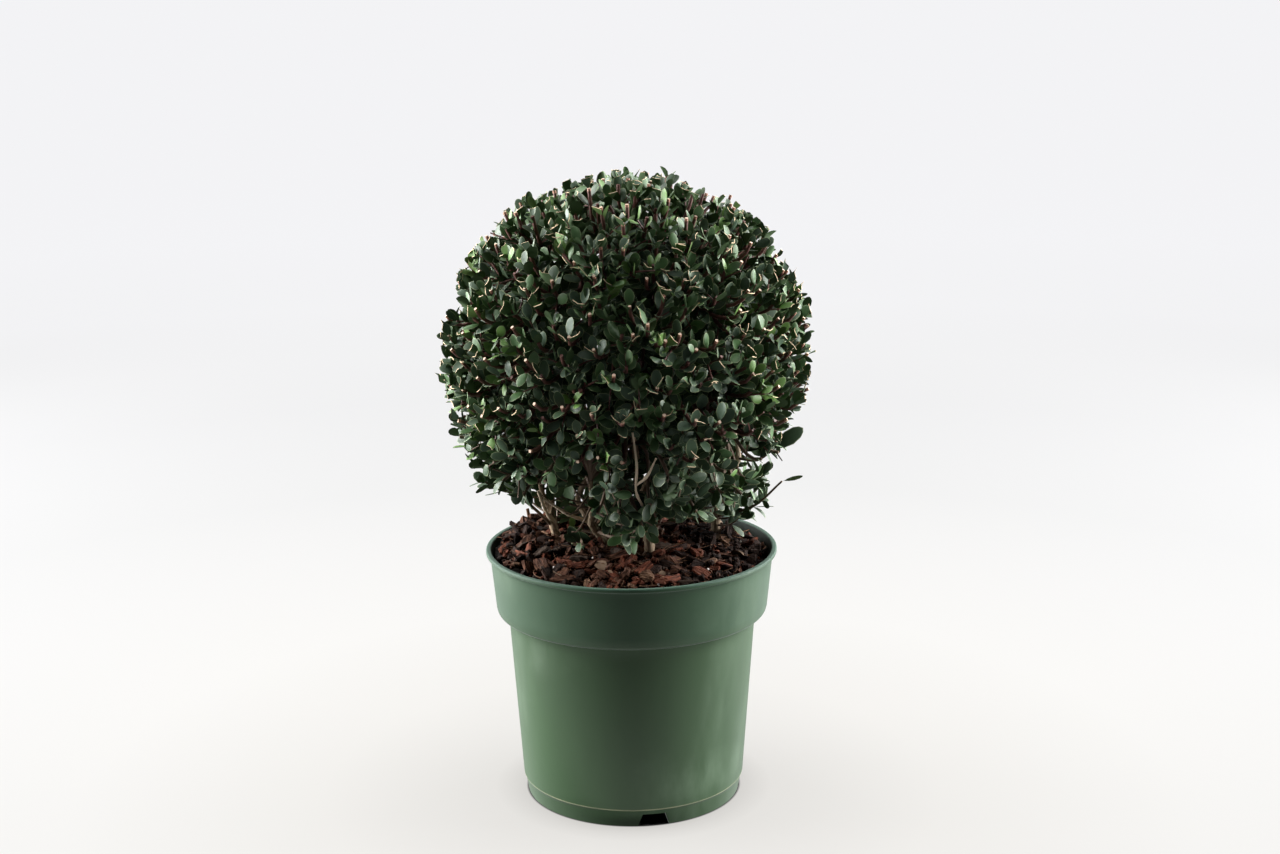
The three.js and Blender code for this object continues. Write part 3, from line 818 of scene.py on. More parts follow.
@dataclass
class Clump:
    """The stems and boughs, grown by the same rule and sizes as the solids."""

    crown: Crown
    outer: tuple[StemPlan, ...] = (  # stems with a lower and an upper bough each
        StemPlan("left", (-60, 6), (-63, 5, 241), 176),
        StemPlan("front_left", (-22, -8), (-39, -22, 241), 248),
        StemPlan("front_right", (14, -22), (9, -36, 246), 320),
        StemPlan("back_right", (68, 34), (63, 27, 240), 32),
        StemPlan("back_left", (-22, 56), (-27, 60, 243), 104),
    )
    middle: StemPlan = StemPlan("middle", (8, 24), (3, 9, 285), 285)  # the stem with the leader
    ground: float = 199.0
    buried: float = 5.0
    shown_below: float = 1.0
    upright_run: float = 8.0
    bow: float = 1.5
    stem_radius: Span = (3.6, 2.6)
    flare: float = 2.9
    flare_run: float = 0.12  # share of a stem in which its flare dies away
    bough_radius: Span = (2.1, 1.5)
    leader_radius: Span = (2.4, 1.6)
    overlap: float = 2.0
    straight_run: float = 8.0
    final_rise: float = 14.0
    knee_at: float = 0.55
    leaves_at: float = 0.62  # share of a stem where its lower bough leaves it
    lower_reach: float = 74.0
    lower_height: float = 274.0
    upper_turn: float = -36.0
    upper_polar: float = 62.0
    lower_polar: float = 112.0
    bough_depth: float = 88.0  # of the upper tips, from the crown's middle
    knee: Span = (42.0, 288.0)  # of an upper bough: distance from the axis and height
    steps: int = 56
    sides: int = 16
    swelling: Span = (0.9, 0.5)  # of the collars at a stem's side and at its tip
    swelling_run: float = 0.07  # share of a bough in which its collar dies away
    ridge: float = 0.07
    knots: int = 6
    knot: float = 0.3  # height as a share of the radius
    knot_size: Span = (2.6, 0.7)  # along the limb, and round it in radians
    limbs: dict[str, Limb] = field(default_factory=dict)
    masses: list[Mass] = field(default_factory=list)

    def grow(self) -> None:
        """Grows the stems, then the boughs on them, and notes where each mass begins."""
        for plan in (*self.outer, self.middle):
            self._stem(plan)
        tip = self.crown.at(direction(0, 0), self.bough_depth)
        fork = np.array(self.middle.fork, float)
        self._carry_on("middle", "bough_leader", [(fork + tip) / 2, tip], self.leader_radius)
        self._mass("foliage_top", direction(0, 0), "bough_leader")
        for plan in self.outer:
            self._upper(plan)
        for plan in self.outer:
            self._lower(plan)

    def _stem(self, plan: StemPlan) -> None:
        """Grows a stem from under the bark to its fork, flared at its foot by a dying curve.

        Args:
            plan: The stem's plan.
        """
        foot = np.array([*plan.foot, self.ground - self.buried])
        upright = np.array([*plan.foot, self.ground + self.upright_run])
        fork = np.array(plan.fork, float)
        middle = (upright + fork) / 2 + direction(plan.azimuth, 90) * self.bow
        path = smooth_curve([foot, upright, middle, fork], self.steps)
        share = np.linspace(0, 1, self.steps)
        radius = np.interp(share, (0, 1), self.stem_radius) + self.flare * np.exp(-share / self.flare_run)
        kept = path[:, 2] >= self.ground - self.shown_below
        self.limbs[f"stem_{plan.name}"] = Limb(f"stem_{plan.name}", path[kept], radius[kept])

    def _bough(self, node: str, knots: list[Floats], radius: Span, swelling: float) -> None:
        """Grows a tapering bough with a swollen collar where it leaves its stem.

        Args:
            node: Node that it stands for.
            knots: Points that it passes.
            radius: Its radius at its foot and its tip.
            swelling: How far its collar swells.
        """
        share = np.linspace(0, 1, self.steps)
        taper = np.interp(share, (0, 1), radius) + swelling * np.exp(-share / self.swelling_run)
        self.limbs[node] = Limb(node, smooth_curve(knots, self.steps), taper)

    def _carry_on(self, stem: str, node: str, knots: list[Floats], radius: Span) -> None:
        """Grows a bough that carries on from a stem's tip.

        Args:
            stem: Name of the stem.
            node: Node that the bough stands for.
            knots: Points that it passes on its way.
            radius: Its radius at its foot and its tip.
        """
        path = self.limbs[f"stem_{stem}"].path
        onward = unit(path[-1] - path[-2])
        start = path[-1] - onward * self.overlap
        self._bough(node, [start, start + onward * self.straight_run, *knots], radius, self.swelling[1])

    def _upper(self, plan: StemPlan) -> None:
        """Grows the bough from a stem's tip up to its upper foliage.

        Args:
            plan: The stem's plan.
        """
        node = f"bough_upper_{plan.name}"
        way = direction(plan.azimuth + self.upper_turn, self.upper_polar)
        knee = direction(plan.azimuth + self.upper_turn / 2, 90) * self.knee[0] + UP * self.knee[1]
        self._carry_on(plan.name, node, [knee, self.crown.at(way, self.bough_depth)], self.bough_radius)
        self._mass(f"foliage_upper_{plan.name}", way, node)

    def _lower(self, plan: StemPlan) -> None:
        """Grows the bough from a stem's side out to its lower foliage.

        Args:
            plan: The stem's plan.
        """
        node = f"bough_lower_{plan.name}"
        start = self.on_stem(plan.name, self.leaves_at)
        tip = direction(plan.azimuth, 90) * self.lower_reach + UP * self.lower_height
        tip = tip + np.array([*self.crown.centre[:2], 0.0])
        knee = start + (tip - UP * self.final_rise - start) * self.knee_at
        self._bough(node, [start, knee, tip], self.bough_radius, self.swelling[0])
        self._mass(f"foliage_lower_{plan.name}", direction(plan.azimuth, self.lower_polar), node)

    def _mass(self, name: str, way: Floats, node: str) -> None:
        """Notes a mass of foliage at the end of a bough."""
        path = self.limbs[node].path
        self.masses.append(Mass(name, way, path[-1], unit(path[-1] - path[-2])))

    def on_stem(self, name: str, share: float) -> Floats:
        """Point of a stem at a share of its steps."""
        path = self.limbs[f"stem_{name}"].path
        return path[round(share * (len(path) - 1))]

    def rough(self, limb: Limb, rng: Random) -> Floats:
        """Radius of a limb at each point and side, with the relief of its bark.

        Ridges are waves round the limb that lean as they run along it. Knots are round
        swellings at random places, largest at their middle.

        Args:
            limb: The limb.
            rng: Random numbers for the knots.

        Returns:
            Radii by step and side.
        """
        turn = full_turn(self.sides)[None]
        run = run_along(limb.path)[:, None]
        phase = rng.uniform(0, 6, 3)
        ridges = 0.5 * np.sin(5 * turn + 1.9 * np.sin(run / 7 + phase[0]))
        ridges = ridges + 0.35 * np.sin(3 * turn + run / 9 + phase[1])
        ridges = ridges + 0.3 * np.sin(7 * turn - run / 4 + phase[2])
        rough = 1 + self.ridge * ridges
        long, wide = self.knot_size
        for place, side in zip(rng.uniform(0.05, 0.95, self.knots), rng.uniform(0, 2 * np.pi, self.knots)):
            aside = np.mod(turn - side + np.pi, 2 * np.pi) - np.pi
            near = ((run - place * run[-1]) / long) ** 2 + (aside / wide) ** 2
            rough = rough + self.knot * np.exp(-near)
        return limb.radius[:, None] * rough

    def build(self, bark: Material, rng: Random) -> None:
        """Builds each limb as a piece with the relief of its bark.

        Args:
            bark: Material of the bark.
            rng: Random numbers.
        """
        for limb in self.limbs.values():
            shape = rods(limb.path[None], self.rough(limb, rng)[None], self.sides, RodSlots())
            publish(shape.as_object(f"bark_{limb.node}", [bark], 60), Slot.BARK, limb.node)


# Leaves and twigs


class LeafSlot(IntEnum):
    """Material slots of a leaf piece: tints of the upper sides, undersides, rims with a painted highlight,
    and cuts.
    """

    DEEP = 0
    GREEN = 1
    BLUISH = 2
    FRESH = 3
    UNDER = 4
    UNDER_FRESH = 5
    RIM = 6
    CUT = 7


class TwigSlot(IntEnum):
    """Material slots of a twig piece: young, old and bare wood, the bare wood paler with painted light, pale
    ends and cuts.
    """

    RED = 0
    OLD = 1
    BARE = 2
    YOUNG = 3
    CUT = 4


class LeafFace(IntEnum):
    """Kinds of a leaf's faces."""

    UPPER = 0
    LOWER = 1
    CUT = 2
    RIM = 3


@dataclass
class Leaves(Arrays):
    """Leaves as arrays, one a row."""

    root: Floats  # where each joins its twig
    axis: Floats
    face: Floats  # way its upper side faces
    length: Floats
    width: Floats
    tint: Ints  # slot of its upper side
    owner: Ints  # number of its mass
    kept: Floats  # share of its length that the shears left
    slant: Floats  # how far the cut leans, as a share of what is left

    @classmethod
    def whole(cls, *values: Floats | Ints) -> Self:
        """Uncut leaves, from their root to their owner."""
        count = len(values[0])
        return cls(*values, np.ones(count), np.zeros(count))

    def at(self, share: float | Floats) -> Floats:
        """Points of the leaves' straight axes at a share of their length."""
        return self.root + self.axis * (self.length * share)[:, None]


@dataclass(frozen=True)
class LeafForm:
    """The shape of a leaf: a closed blade with an upper and a lower side that meet at its rim."""

    petiole: float = 0.1  # share of the length that is stalk
    stalk: float = 0.06  # half its width, as a share of half the blade's
    rows: tuple[float, ...] = (0.0, 0.22, 0.5, 0.78, 0.93)
    inner_tip: float = 0.975  # share of the length where the blade inside the rim ends
    droop: Span = (-0.06, 0.24)  # how far the tip bends down, as a share of the length
    fold: Span = (-0.25, 0.5)  # how far the sides rise, as a share of half the width
    thickness: float = 0.34
    rim: float = 0.9  # share of half the width where the pale rim, the margin with a painted highlight, begins
    cut_band: float = 0.22
    cut_lip: float = 0.36

    def half_width(self, share: Floats) -> Floats:
        """Half the width as a share of its largest, at shares of the length.

        From the stalk's end on it is the sine of half a turn times the share of the blade
        to the power 1.2, to the power 0.62: widest past the middle, with a round tip.

        Args:
            share: The shares.

        Returns:
            The half widths.
        """
        blade = np.clip((share - self.petiole) / (1 - self.petiole), 0, 1)
        return np.maximum(np.sin(np.pi * blade**1.2), 0) ** 0.62 + self.stalk * (share < 0.999)

    def build(self, leaves: Leaves, rng: Random) -> FaceSet:
        """Builds whole and cut leaves as closed blades.

        A point is the leaf's root plus its place along the axis, across it and off its
        plane. The midrib bends down with the square of the place along it, and the sides
        rise from it by the fold.

        Args:
            leaves: The leaves.
            rng: Random numbers for bend and fold.

        Returns:
            All the leaves as one set.
        """
        whole = leaves.kept >= 1
        parts = [self._blades(leaves.pick(whole), False, rng), self._blades(leaves.pick(~whole), True, rng)]
        return FaceSet.joined([part for part in parts if len(part.points)])

    def _blades(self, leaves: Leaves, cut: bool, rng: Random) -> FaceSet:
        """Builds leaves of one kind.

        Args:
            leaves: The leaves.
            cut: Whether they are cut or whole.
            rng: Random numbers for bend and fold.

        Returns:
            The leaves as one set.
        """
        count, rows = len(leaves.length), len(self.rows)
        droop = rng.uniform(*self.droop, (count, 1))
        fold = rng.uniform(*self.fold, (count, 1))
        slant = leaves.slant[:, None] * cut
        length, half = leaves.length[:, None], leaves.width[:, None] / 2
        band = self.cut_band / length * cut
        steps = np.array(self.rows)[None] / (self.rows[-1] if cut else 1.0)
        share = self.petiole + (leaves.kept[:, None] - band - self.petiole) * steps
        right = np.cross(leaves.axis, leaves.face)[:, None]

        def place(at: Floats, side: float, lift: float) -> Floats:
            """Points at shares of the length, on a side of the midrib and lifted off it."""
            there = at + slant * side * (at - self.petiole)
            wide = self.half_width(there) * half * side
            high = -droop * length * there**2 + fold * np.abs(wide) + lift
            onward = leaves.root[:, None] + leaves.axis[:, None] * (there * length)[..., None]
            return onward + right * wide[..., None] + leaves.face[:, None] * high[..., None]

        up, lip = self.thickness / 2, self.cut_lip / 2
        strips = ((-1, 0), (-self.rim, up / 2), (0, up), (self.rim, up / 2), (1, 0), (0, -up))
        blade = np.stack([place(share, side, lift) for side, lift in strips], axis=2)
        points = [leaves.root[:, None], blade.reshape(count, 6 * rows, 3)]
        if cut:
            end = share[:, -1:] + band
            points += [place(end, side, lift) for lift in (lip, -lip) for side in (-1, 0, 1)]
        else:
            ends = ((1.0, 0), (self.inner_tip, up / 2))
            points += [place(np.full((count, 1), at), 0, lift) for at, lift in ends]
        points = np.concatenate(points, axis=1)
        under = np.where(leaves.tint == LeafSlot.FRESH, LeafSlot.UNDER_FRESH, LeafSlot.UNDER)
        dry, pale = np.full(count, LeafSlot.CUT), np.full(count, LeafSlot.RIM)
        kinds = np.stack([leaves.tint, under, dry, pale], axis=1)
        shift = (np.arange(count) * points.shape[1])[:, None]
        blocks = [(np.array(face) + shift, kinds[:, kind]) for face, kind in self._faces(rows, cut)]
        return FaceSet.of(points.reshape(-1, 3), blocks)

    @staticmethod
    def _faces(rows: int, cut: bool) -> list[tuple[tuple[int, ...], LeafFace]]:
        """Faces of one leaf as point numbers.

        Point 0 is the root. Each row then has its points from left to right along the upper
        side and its lower one. The tip follows with the end of the blade inside the rim, or
        the cut's upper left, middle and right and its lower ones.

        Args:
            rows: Rows of points.
            cut: Whether the leaf is cut.

        Returns:
            The faces, each with its kind.
        """
        columns = [[1 + 6 * row + place for row in range(rows)] for place in range(6)]
        end = 1 + 6 * rows
        strips = (LeafFace.RIM, LeafFace.UPPER, LeafFace.UPPER, LeafFace.RIM, LeafFace.LOWER, LeafFace.LOWER)
        tips = (end, end + 1, end + 1, end + 1, end, end)
        faces = []
        for place, kind in enumerate(strips):
            after = (place + 1) % 6
            one, two = columns[place], columns[after]
            faces.append(((0, two[0], one[0]), kind))
            quads = [(one[row], two[row], two[row + 1], one[row + 1]) for row in range(rows - 1)]
            if kind == LeafFace.LOWER:
                quads = [(*quad[1:], quad[0]) for quad in quads]
            faces += [(quad, kind) for quad in quads]
            if not cut:
                faces.append((tuple(dict.fromkeys((one[-1], two[-1], tips[after], tips[place]))), kind))
        if cut:
            left, inner_left, top, inner_right, right, low = (column[-1] for column in columns)
            a, b, c, d, e, f = range(end, end + 6)
            ends = [(top, inner_right, right, c, b), (left, inner_left, top, b, a)]
            ends += [(low, e, f, right), (left, d, e, low)]
            ends += [(b, c, f, e), (a, b, e, d), (right, f, c), (left, a, d)]
            faces += [(face, LeafFace.CUT) for face in ends]
        return faces


@dataclass
class Shoots(Arrays):
    """Shoots as arrays: points by shoot and step, radii at each, and the mass that owns each."""

    paths: Floats
    radii: Floats
    owner: Ints

    @classmethod
    def tapered(cls, paths: Floats, radius: Span, owner: Ints) -> Self:
        """Shoots along paths whose radius falls evenly from foot to tip."""
        radii = np.broadcast_to(np.linspace(*radius, paths.shape[1]), paths.shape[:2])
        return cls(paths, radii, owner)


@dataclass(frozen=True)
class Spray:
    """How leaves stand along a shoot."""

    first: float = 0.6  # from the shoot's tip to its last leaf
    gap: float = 4.0  # from one leaf to the next
    count: int = 11
    lowest: float = 0.1  # share of the shoot below which it is bare
    lean: Span = (36.0, 72.0)  # degrees from the shoot, at its tip and at its foot
    length: Span = (10.5, 15.0)
    width_share: Span = (0.44, 0.57)
    tints: tuple[float, float, float] = (0.42, 0.36, 0.22)  # shares with deep, green and bluish leaves
    fresh: float = 0.12  # share of shoots with bright young ends
    bare: float = 0.0  # the most that some shoots are bare before their tips
    upward: float = 0.4  # how much leaves turn up to the light
    heart: float = 300.0  # height on the axis that leaves face away from
    small_ends: tuple[int, float] = (2, 0.86)  # how many leaves at a tip are smaller, and their size
    fresh_ends: int = 4  # how many are young on a fresh shoot

    def dress(self, shoots: Shoots, rng: Random) -> Leaves:
        """Sets leaves along shoots, each a golden angle round from the one before.

        A leaf leans from the shoot's heading by its angle towards its side of the shoot.
        Its upper side faces the shoot's tip, turned a little to the light above.

        Args:
            shoots: The shoots.
            rng: Random numbers.

        Returns:
            The leaves.
        """
        number = np.arange(self.count)[None]
        many = len(shoots.owner)
        bare = self.bare * np.maximum(rng.uniform(-1.2, 1, (many, 1)), 0)
        back = self.first + bare + self.gap * (number + rng.uniform(-0.3, 0.3, (many, self.count)))
        share = 1 - back / run_along(shoots.paths)[:, -1:]
        root, heading = along(shoots.paths, share)
        turn = rng.uniform(0, 2 * np.pi, (many, 1)) + number * SPIRAL + rng.normal(0, 0.25, share.shape)
        side = across(heading, turn)
        lean = np.interp(share, (0, 1), self.lean[::-1]) + rng.normal(0, 9, share.shape)
        lean = np.radians(lean)[..., None]
        axis = unit(np.cos(lean) * heading + np.sin(lean) * side + self.upward * UP)
        face = 0.65 * (np.sin(lean) * heading - np.cos(lean) * side)
        face = face + 0.4 * UP + 0.2 * unit(root - self.heart * UP) + rng.normal(0, 0.36, face.shape)
        face = square_to(face, axis)
        ends, smaller = self.small_ends
        length = rng.uniform(*self.length, share.shape) * np.where(number < ends, smaller, 1.0)
        width = length * rng.uniform(*self.width_share, share.shape)
        tint = rng.choice(len(self.tints), (many, 1), p=self.tints) + np.zeros_like(number)
        bright = (rng.random((many, 1)) < self.fresh) & (number < self.fresh_ends)
        tint = np.where(bright, LeafSlot.FRESH, tint)
        owner = shoots.owner[:, None] + np.zeros_like(number)
        there = share > self.lowest
        return Leaves.whole(*(values[there] for values in (root, axis, face, length, width, tint, owner)))


@dataclass(frozen=True)
class Snag:
    """A bare old branch that shows between the leaves: points that it passes and its radii."""

    knots: tuple[Point, ...]
    radius: Span
    hidden: float = 0.0  # share of its length, from its foot, that leaves may cover


@dataclass
class Family:
    """Shoots of one kind, their leaves, the points round them and the finish of their wood."""

    shoots: Shoots
    leaves: Leaves
    sides: int
    slots: RodSlots


@dataclass
class Foliage:
    """Twigs and leaves of the ball, grown on from the boughs' tips.

    Branches run from a bough's tip to places spread evenly over a ball inside the crown.
    Shoots leave the branches for places spread evenly over the clipped surface, and side
    shoots leave the shoots. What crosses the clipped surface is cut there. Near the crown's
    underside the shoots are fewer, uncut and have larger leaves.
    """

    crown: Crown
    clump: Clump
    rng: Random
    branches: int = 170
    branch_depth: float = 98.0  # of their ends, from the crown's middle
    branch_radius: Span = (1.5, 1.15)
    inner_twigs: int = 110
    inner_length: Span = (28.0, 52.0)
    inner_radius: Span = (0.9, 0.6)
    shoots: int = 580
    last_polar: float = 150.0  # of the lowest shoots
    skirt_polar: float = 113.0  # from which they are uncut
    thin_polar: float = 124.0  # from which only a share grows
    thin_share: float = 0.54
    cut_share: float = 0.58  # of the upper shoots, with a pale cut end
    cut_depth: Span = (0.0, 4.0)  # of their ends inside the clipped surface
    whole_depth: Span = (4.0, 11.0)
    skirt_depth: Span = (3.0, 12.0)
    raised: Span = (42.0, 2.0)  # polar angle up to which shoots are longer, and how much
    proud: Point = (46.0, 0.22, 5.0)  # polar angle up to which some stand proud, their share and how much
    shoot_radius: Span = (1.65, 1.3)
    shoot_rise: float = 1.5  # how much shoots turn up to the light
    low_shoots: tuple[float, ...] = (0.24, 0.36, 0.46, 0.56, 0.66, 0.77, 0.9)
    low_length: Span = (24.0, 42.0)
    low_radius: Span = (0.95, 0.6)
    side_shoots: int = 2
    side_length: Span = (18.0, 34.0)
    side_shortest: float = 9.0
    side_clearance: float = 3.0
    side_radius: Span = (0.75, 0.55)
    young_end: float = 2.2  # pale end of a cut shoot
    spray: Spray = Spray(first=4.0, gap=4.6, count=9, lean=(28.0, 64.0), length=(13.0, 18.0), bare=21.0)
    side_spray: Spray = Spray(
        gap=3.8, count=7, lowest=0.12, lean=(26.0, 62.0), length=(12.0, 16.5), fresh=0.14
    )
    inner_spray: Spray = Spray(first=2.0, gap=4.2, count=14, lowest=0.05, length=(14.0, 20.0), fresh=0.0)
    bough_spray: Spray = Spray(first=2.0, gap=1.7, count=42, lowest=0.3, length=(15.0, 22.0), fresh=0.0)
    # Painted shade: the skirt's leaves are mostly the deep tint, darker under the crown.
    skirt_spray: Spray = Spray(
        gap=4.4, count=9, lowest=0.12, length=(14.0, 20.0), width_share=(0.4, 0.52),
        tints=(0.8, 0.14, 0.06), fresh=0.04, upward=0.15
    )
    # Painted shade: the low shoots' leaves are mostly the deep tint as well.
    low_spray: Spray = Spray(
        gap=4.6, count=9, lowest=0.15, length=(13.0, 20.0), width_share=(0.4, 0.52),
        tints=(0.82, 0.12, 0.06), fresh=0.04, upward=0.2
    )
    form: LeafForm = LeafForm()
    snags: tuple[Snag, ...] = (
        Snag(
            ((9, -36, 245), (8, -78, 258), (4, -103, 276), (5, -108, 294), (2, -112, 321)), (1.2, 0.8), 0.53
        ),
        Snag(((5, -105, 280), (12, -110, 287), (19, -114, 302)), (1.1, 0.8)),
        Snag(((-62, 4, 222), (-67, -2, 230), (-73, -4, 248)), (1.9, 1.3)),
        Snag(((-33, -16, 226), (-48, -24, 234), (-68, -26, 248)), (1.4, 1.0)),
        Snag(((64, 28, 236), (77, 20, 250), (85, 8, 270), (81, -4, 296)), (2.3, 1.6), 0.45),
    )
    snag_steps: int = 16
    snag_knobs: Span = (0.72, 1.32)
    shown: tuple[tuple[str, float, float], ...] = (  # limb, the share that shows, the room beside it
        ("stem_left", 1.0, 10.0),
        ("bough_lower_left", 0.6, 8.0),
        ("stem_front_left", 1.0, 9.0),
        ("stem_back_right", 0.6, 4.5),
        ("bough_upper_front_left", 0.25, 7.0),
    )
    window: float = 6.5  # room beside the snags
    window_height: float = 5.0
    window_behind: float = 3.0
    sight: float = 0.24  # fall of the line of sight for each unit of depth
    lone_leaf: tuple[Point, ...] = ((85, 8, 270), (109, -30, 286), (132, -30, 304))  # twig's foot, root, tip
    lone_width: float = 0.39
    lone_radius: Span = (1.1, 0.7)
    gap: Point = (130.0, -30.0, 296.0)  # in the crown, where the lone leaf stands
    gap_reach: Point = (30.0, 42.0, 17.0)
    hollows: tuple[Point, ...] = ((21.0, 57.0, 225.0), (-112.0, -69.0, 239.0))  # left, right, line of sight

    def _owner(self, ways: Floats) -> Ints:
        """Number of the mass that each direction belongs to: the one that faces it most."""
        return np.argmax(ways @ np.stack([mass.way for mass in self.clump.masses]).T, axis=1)

    def grow_branches(self) -> Shoots:
        """Grows branches from the boughs' tips to even places inside the crown.

        Returns:
            The branches.
        """
        ways = unit(spread(self.branches, self.last_polar) + self.rng.normal(0, 0.05, (self.branches, 3)))
        owner = self._owner(ways)
        tips = np.stack([mass.tip for mass in self.clump.masses])[owner]
        headings = np.stack([mass.heading for mass in self.clump.masses])[owner]
        ends = self.crown.at(ways, self.branch_depth * self.rng.uniform(0.9, 1.06, self.branches))
        far = np.linalg.norm(ends - tips, axis=1, keepdims=True)
        paths = arcs(tips, tips + headings * far * 0.35, ends - ways * far * 0.3, ends, 10)
        return Shoots.tapered(paths, self.branch_radius, owner)

    def boughs(self) -> Shoots:
        """The boughs themselves, for the old leaves and twigs that stand on them.

        Returns:
            The boughs in the order of the masses.
        """
        names = [mass.name.replace("foliage", "bough") for mass in self.clump.masses]
        limbs = [self.clump.limbs[name.replace("bough_top", "bough_leader")] for name in names]
        paths, radii = np.stack([limb.path for limb in limbs]), np.stack([limb.radius for limb in limbs])
        return Shoots(paths, radii, np.arange(len(limbs)))

    def grow_inner(self, boughs: Shoots) -> Shoots:
        """Grows short twigs that leave the boughs to all sides and fill the inside.

        Args:
            boughs: The boughs.

        Returns:
            The twigs.
        """
        owner = np.arange(self.inner_twigs) % len(boughs.owner)
        foot, heading = along(boughs.paths[owner], self.rng.uniform(0.5, 0.98, (self.inner_twigs, 1)))
        foot, heading = foot[:, 0], heading[:, 0]
        side = across(heading, np.arange(self.inner_twigs) * SPIRAL)
        run = self.rng.uniform(*self.inner_length, (self.inner_twigs, 1))
        tips = foot + unit(side + 0.5 * heading) * run
        paths = arcs(foot, foot + side * run * 0.3, tips - unit(side + UP) * run * 0.3, tips, 6)
        return Shoots.tapered(paths, self.inner_radius, owner)

    def grow_shoots(self, branches: Shoots, ways: Floats, depth: Floats) -> Shoots:
        """Grows shoots from the nearest branch of the same mass out to the clipped surface.

        Args:
            branches: The branches.
            ways: Directions of the shoots' tips.
            depth: How far inside the clipped surface the tips stay.

        Returns:
            The shoots, with a short young end before their tips.
        """
        owner = self._owner(ways)
        inner = self.crown.at(ways, np.full(len(ways), self.branch_depth))
        far = np.linalg.norm(inner[:, None] - branches.paths[None, :, -1], axis=2)
        nearest = np.argmin(far + 1e6 * (owner[:, None] != branches.owner[None]), axis=1)
        foot, heading = along(branches.paths[nearest], self.rng.uniform(0.6, 1.0, (len(ways), 1)))
        foot, heading = foot[:, 0], heading[:, 0]
        tips = self.crown.at(ways, self.crown.clip(ways) - depth)
        run = np.linalg.norm(tips - foot, axis=1, keepdims=True)
        rise = self.shoot_rise * np.clip((ways[:, 2:] + 0.9) / 0.9, 0.15, 1)
        onward = unit(ways + rise * UP + self.rng.normal(0, 0.16, ways.shape))
        paths = arcs(foot, foot + unit(heading + onward) * run * 0.35, tips - onward * run * 0.42, tips, 8)
        return self._with_young_end(paths, self.shoot_radius, owner)

    def grow_side_shoots(self, shoots: Shoots) -> Shoots:
        """Grows side shoots that leave each shoot and stay inside the clipped surface.

        Args:
            shoots: The shoots.

        Returns:
            The side shoots that are long enough and hang high enough.
        """
        rng, many = self.rng, len(shoots.owner)
        share = np.linspace(0.42, 0.78, self.side_shoots)[None]
        share = share + rng.uniform(-0.1, 0.1, (many, self.side_shoots))
        foot, heading = along(shoots.paths, share)
        turn = rng.uniform(0, 2 * np.pi, (many, 1)) + np.arange(self.side_shoots) * SPIRAL
        lean = np.radians(rng.uniform(32, 52, share.shape))[..., None]
        onward = np.cos(lean) * heading + np.sin(lean) * across(heading, turn)
        run = rng.uniform(*self.side_length, share.shape)[..., None]
        parts = (foot, heading, onward, run)
        foot, heading, onward, run = (part.reshape(-1, part.shape[-1]) for part in parts)
        owner = np.repeat(shoots.owner, self.side_shoots)
        kept = self.kept_share(foot, onward, run[:, 0], rng.normal(-7, 3, len(foot)))
        run = run * np.minimum(kept, 1)[:, None]
        tips = foot + onward * run + UP * run * 0.08
        paths = arcs(foot, foot + heading * run * 0.2, tips - onward * run * 0.5, tips, 5)
        high = tips[:, 2] > self.crown.floor(tips) + self.side_clearance
        grown = (run[:, 0] > self.side_shortest) & high & ~self.in_gap(tips)
        return self._with_young_end(paths[grown], self.side_radius, owner[grown])

    def grow_low_shoots(self) -> Shoots:
        """Grows short leafy shoots low on the stems, close above the bark mulch.

        Returns:
            The shoots that don't cover the wood that shows.
        """
        lower = [number for number, mass in enumerate(self.clump.masses) if "lower" in mass.name]
        plans = [(f"stem_{plan.name}", owner) for plan, owner in zip(self.clump.outer, lower)]
        plans += [("stem_middle", lower[2]), ("stem_front_right", lower[2]), ("stem_front_right", lower[2])]
        plans += [("stem_middle", lower[1]), ("stem_front_left", lower[1]), ("stem_back_right", lower[3])]
        plans += [(f"bough_lower_{plan.name}", owner) for plan, owner in zip(self.clump.outer, lower)]
        places = [along(self.clump.limbs[node].path[None], np.array([self.low_shoots])) for node, _ in plans]
        foot, heading = (np.concatenate([place[part][0] for place in places]) for part in range(2))
        owner = np.repeat([number for _, number in plans], len(self.low_shoots))
        side = unit(across(heading, np.arange(len(foot)) * SPIRAL + 0.6) * np.array([1.0, 1.0, 0.3]))
        onward = unit(side + 0.42 * heading)
        run = self.rng.uniform(*self.low_length, (len(foot), 1))
        tips = foot + onward * run
        paths = arcs(foot, foot + side * run * 0.35, tips - unit(onward + 0.5 * UP) * run * 0.4, tips, 7)
        return self.beside(self._with_young_end(paths, self.low_radius, owner))

    def _with_young_end(self, paths: Floats, radius: Span, owner: Ints) -> Shoots:
        """Makes shoots with one short last step, which can have a finish of its own.

        Args:
            paths: Points by shoot and step.
            radius: Radius at the foot and the tip.
            owner: Number of the mass that owns each.

        Returns:
            The shoots.
        """
        back = unit(paths[:, -2] - paths[:, -1])[:, None] * self.young_end
        paths = np.concatenate([paths[:, :-1], paths[:, -1:] + back, paths[:, -1:]], axis=1)
        return Shoots.tapered(paths, radius, owner)

    def kept_share(self, root: Floats, axis: Floats, length: Floats, slack: float | Floats = 0.0) -> Floats:
        """Share of straight leaves or shoots that lies inside the clipped surface.

        Args:
            root: Their roots.
            axis: Their directions.
            length: Their lengths.
            slack: How far they may stand out uncut.

        Returns:
            The share at which each first crosses the surface, or 2 where it doesn't.
        """
        shares = np.linspace(0, 1, 11)
        points = root[:, None] + axis[:, None] * (shares[None] * length[:, None])[..., None]
        out = self.crown.beyond(points) - np.broadcast_to(slack, len(root))[:, None]
        first = np.argmax(out > 0, axis=1)
        low = np.maximum(first - 1, 0)
        rows = np.arange(len(root))
        a, b = out[rows, low], out[rows, first]
        part = np.clip(-a / np.maximum(b - a, 1e-6), 0, 1)
        crossed = (out > 0).any(axis=1)
        return np.where(crossed, shares[low] + part * (shares[first] - shares[low]), 2.0)

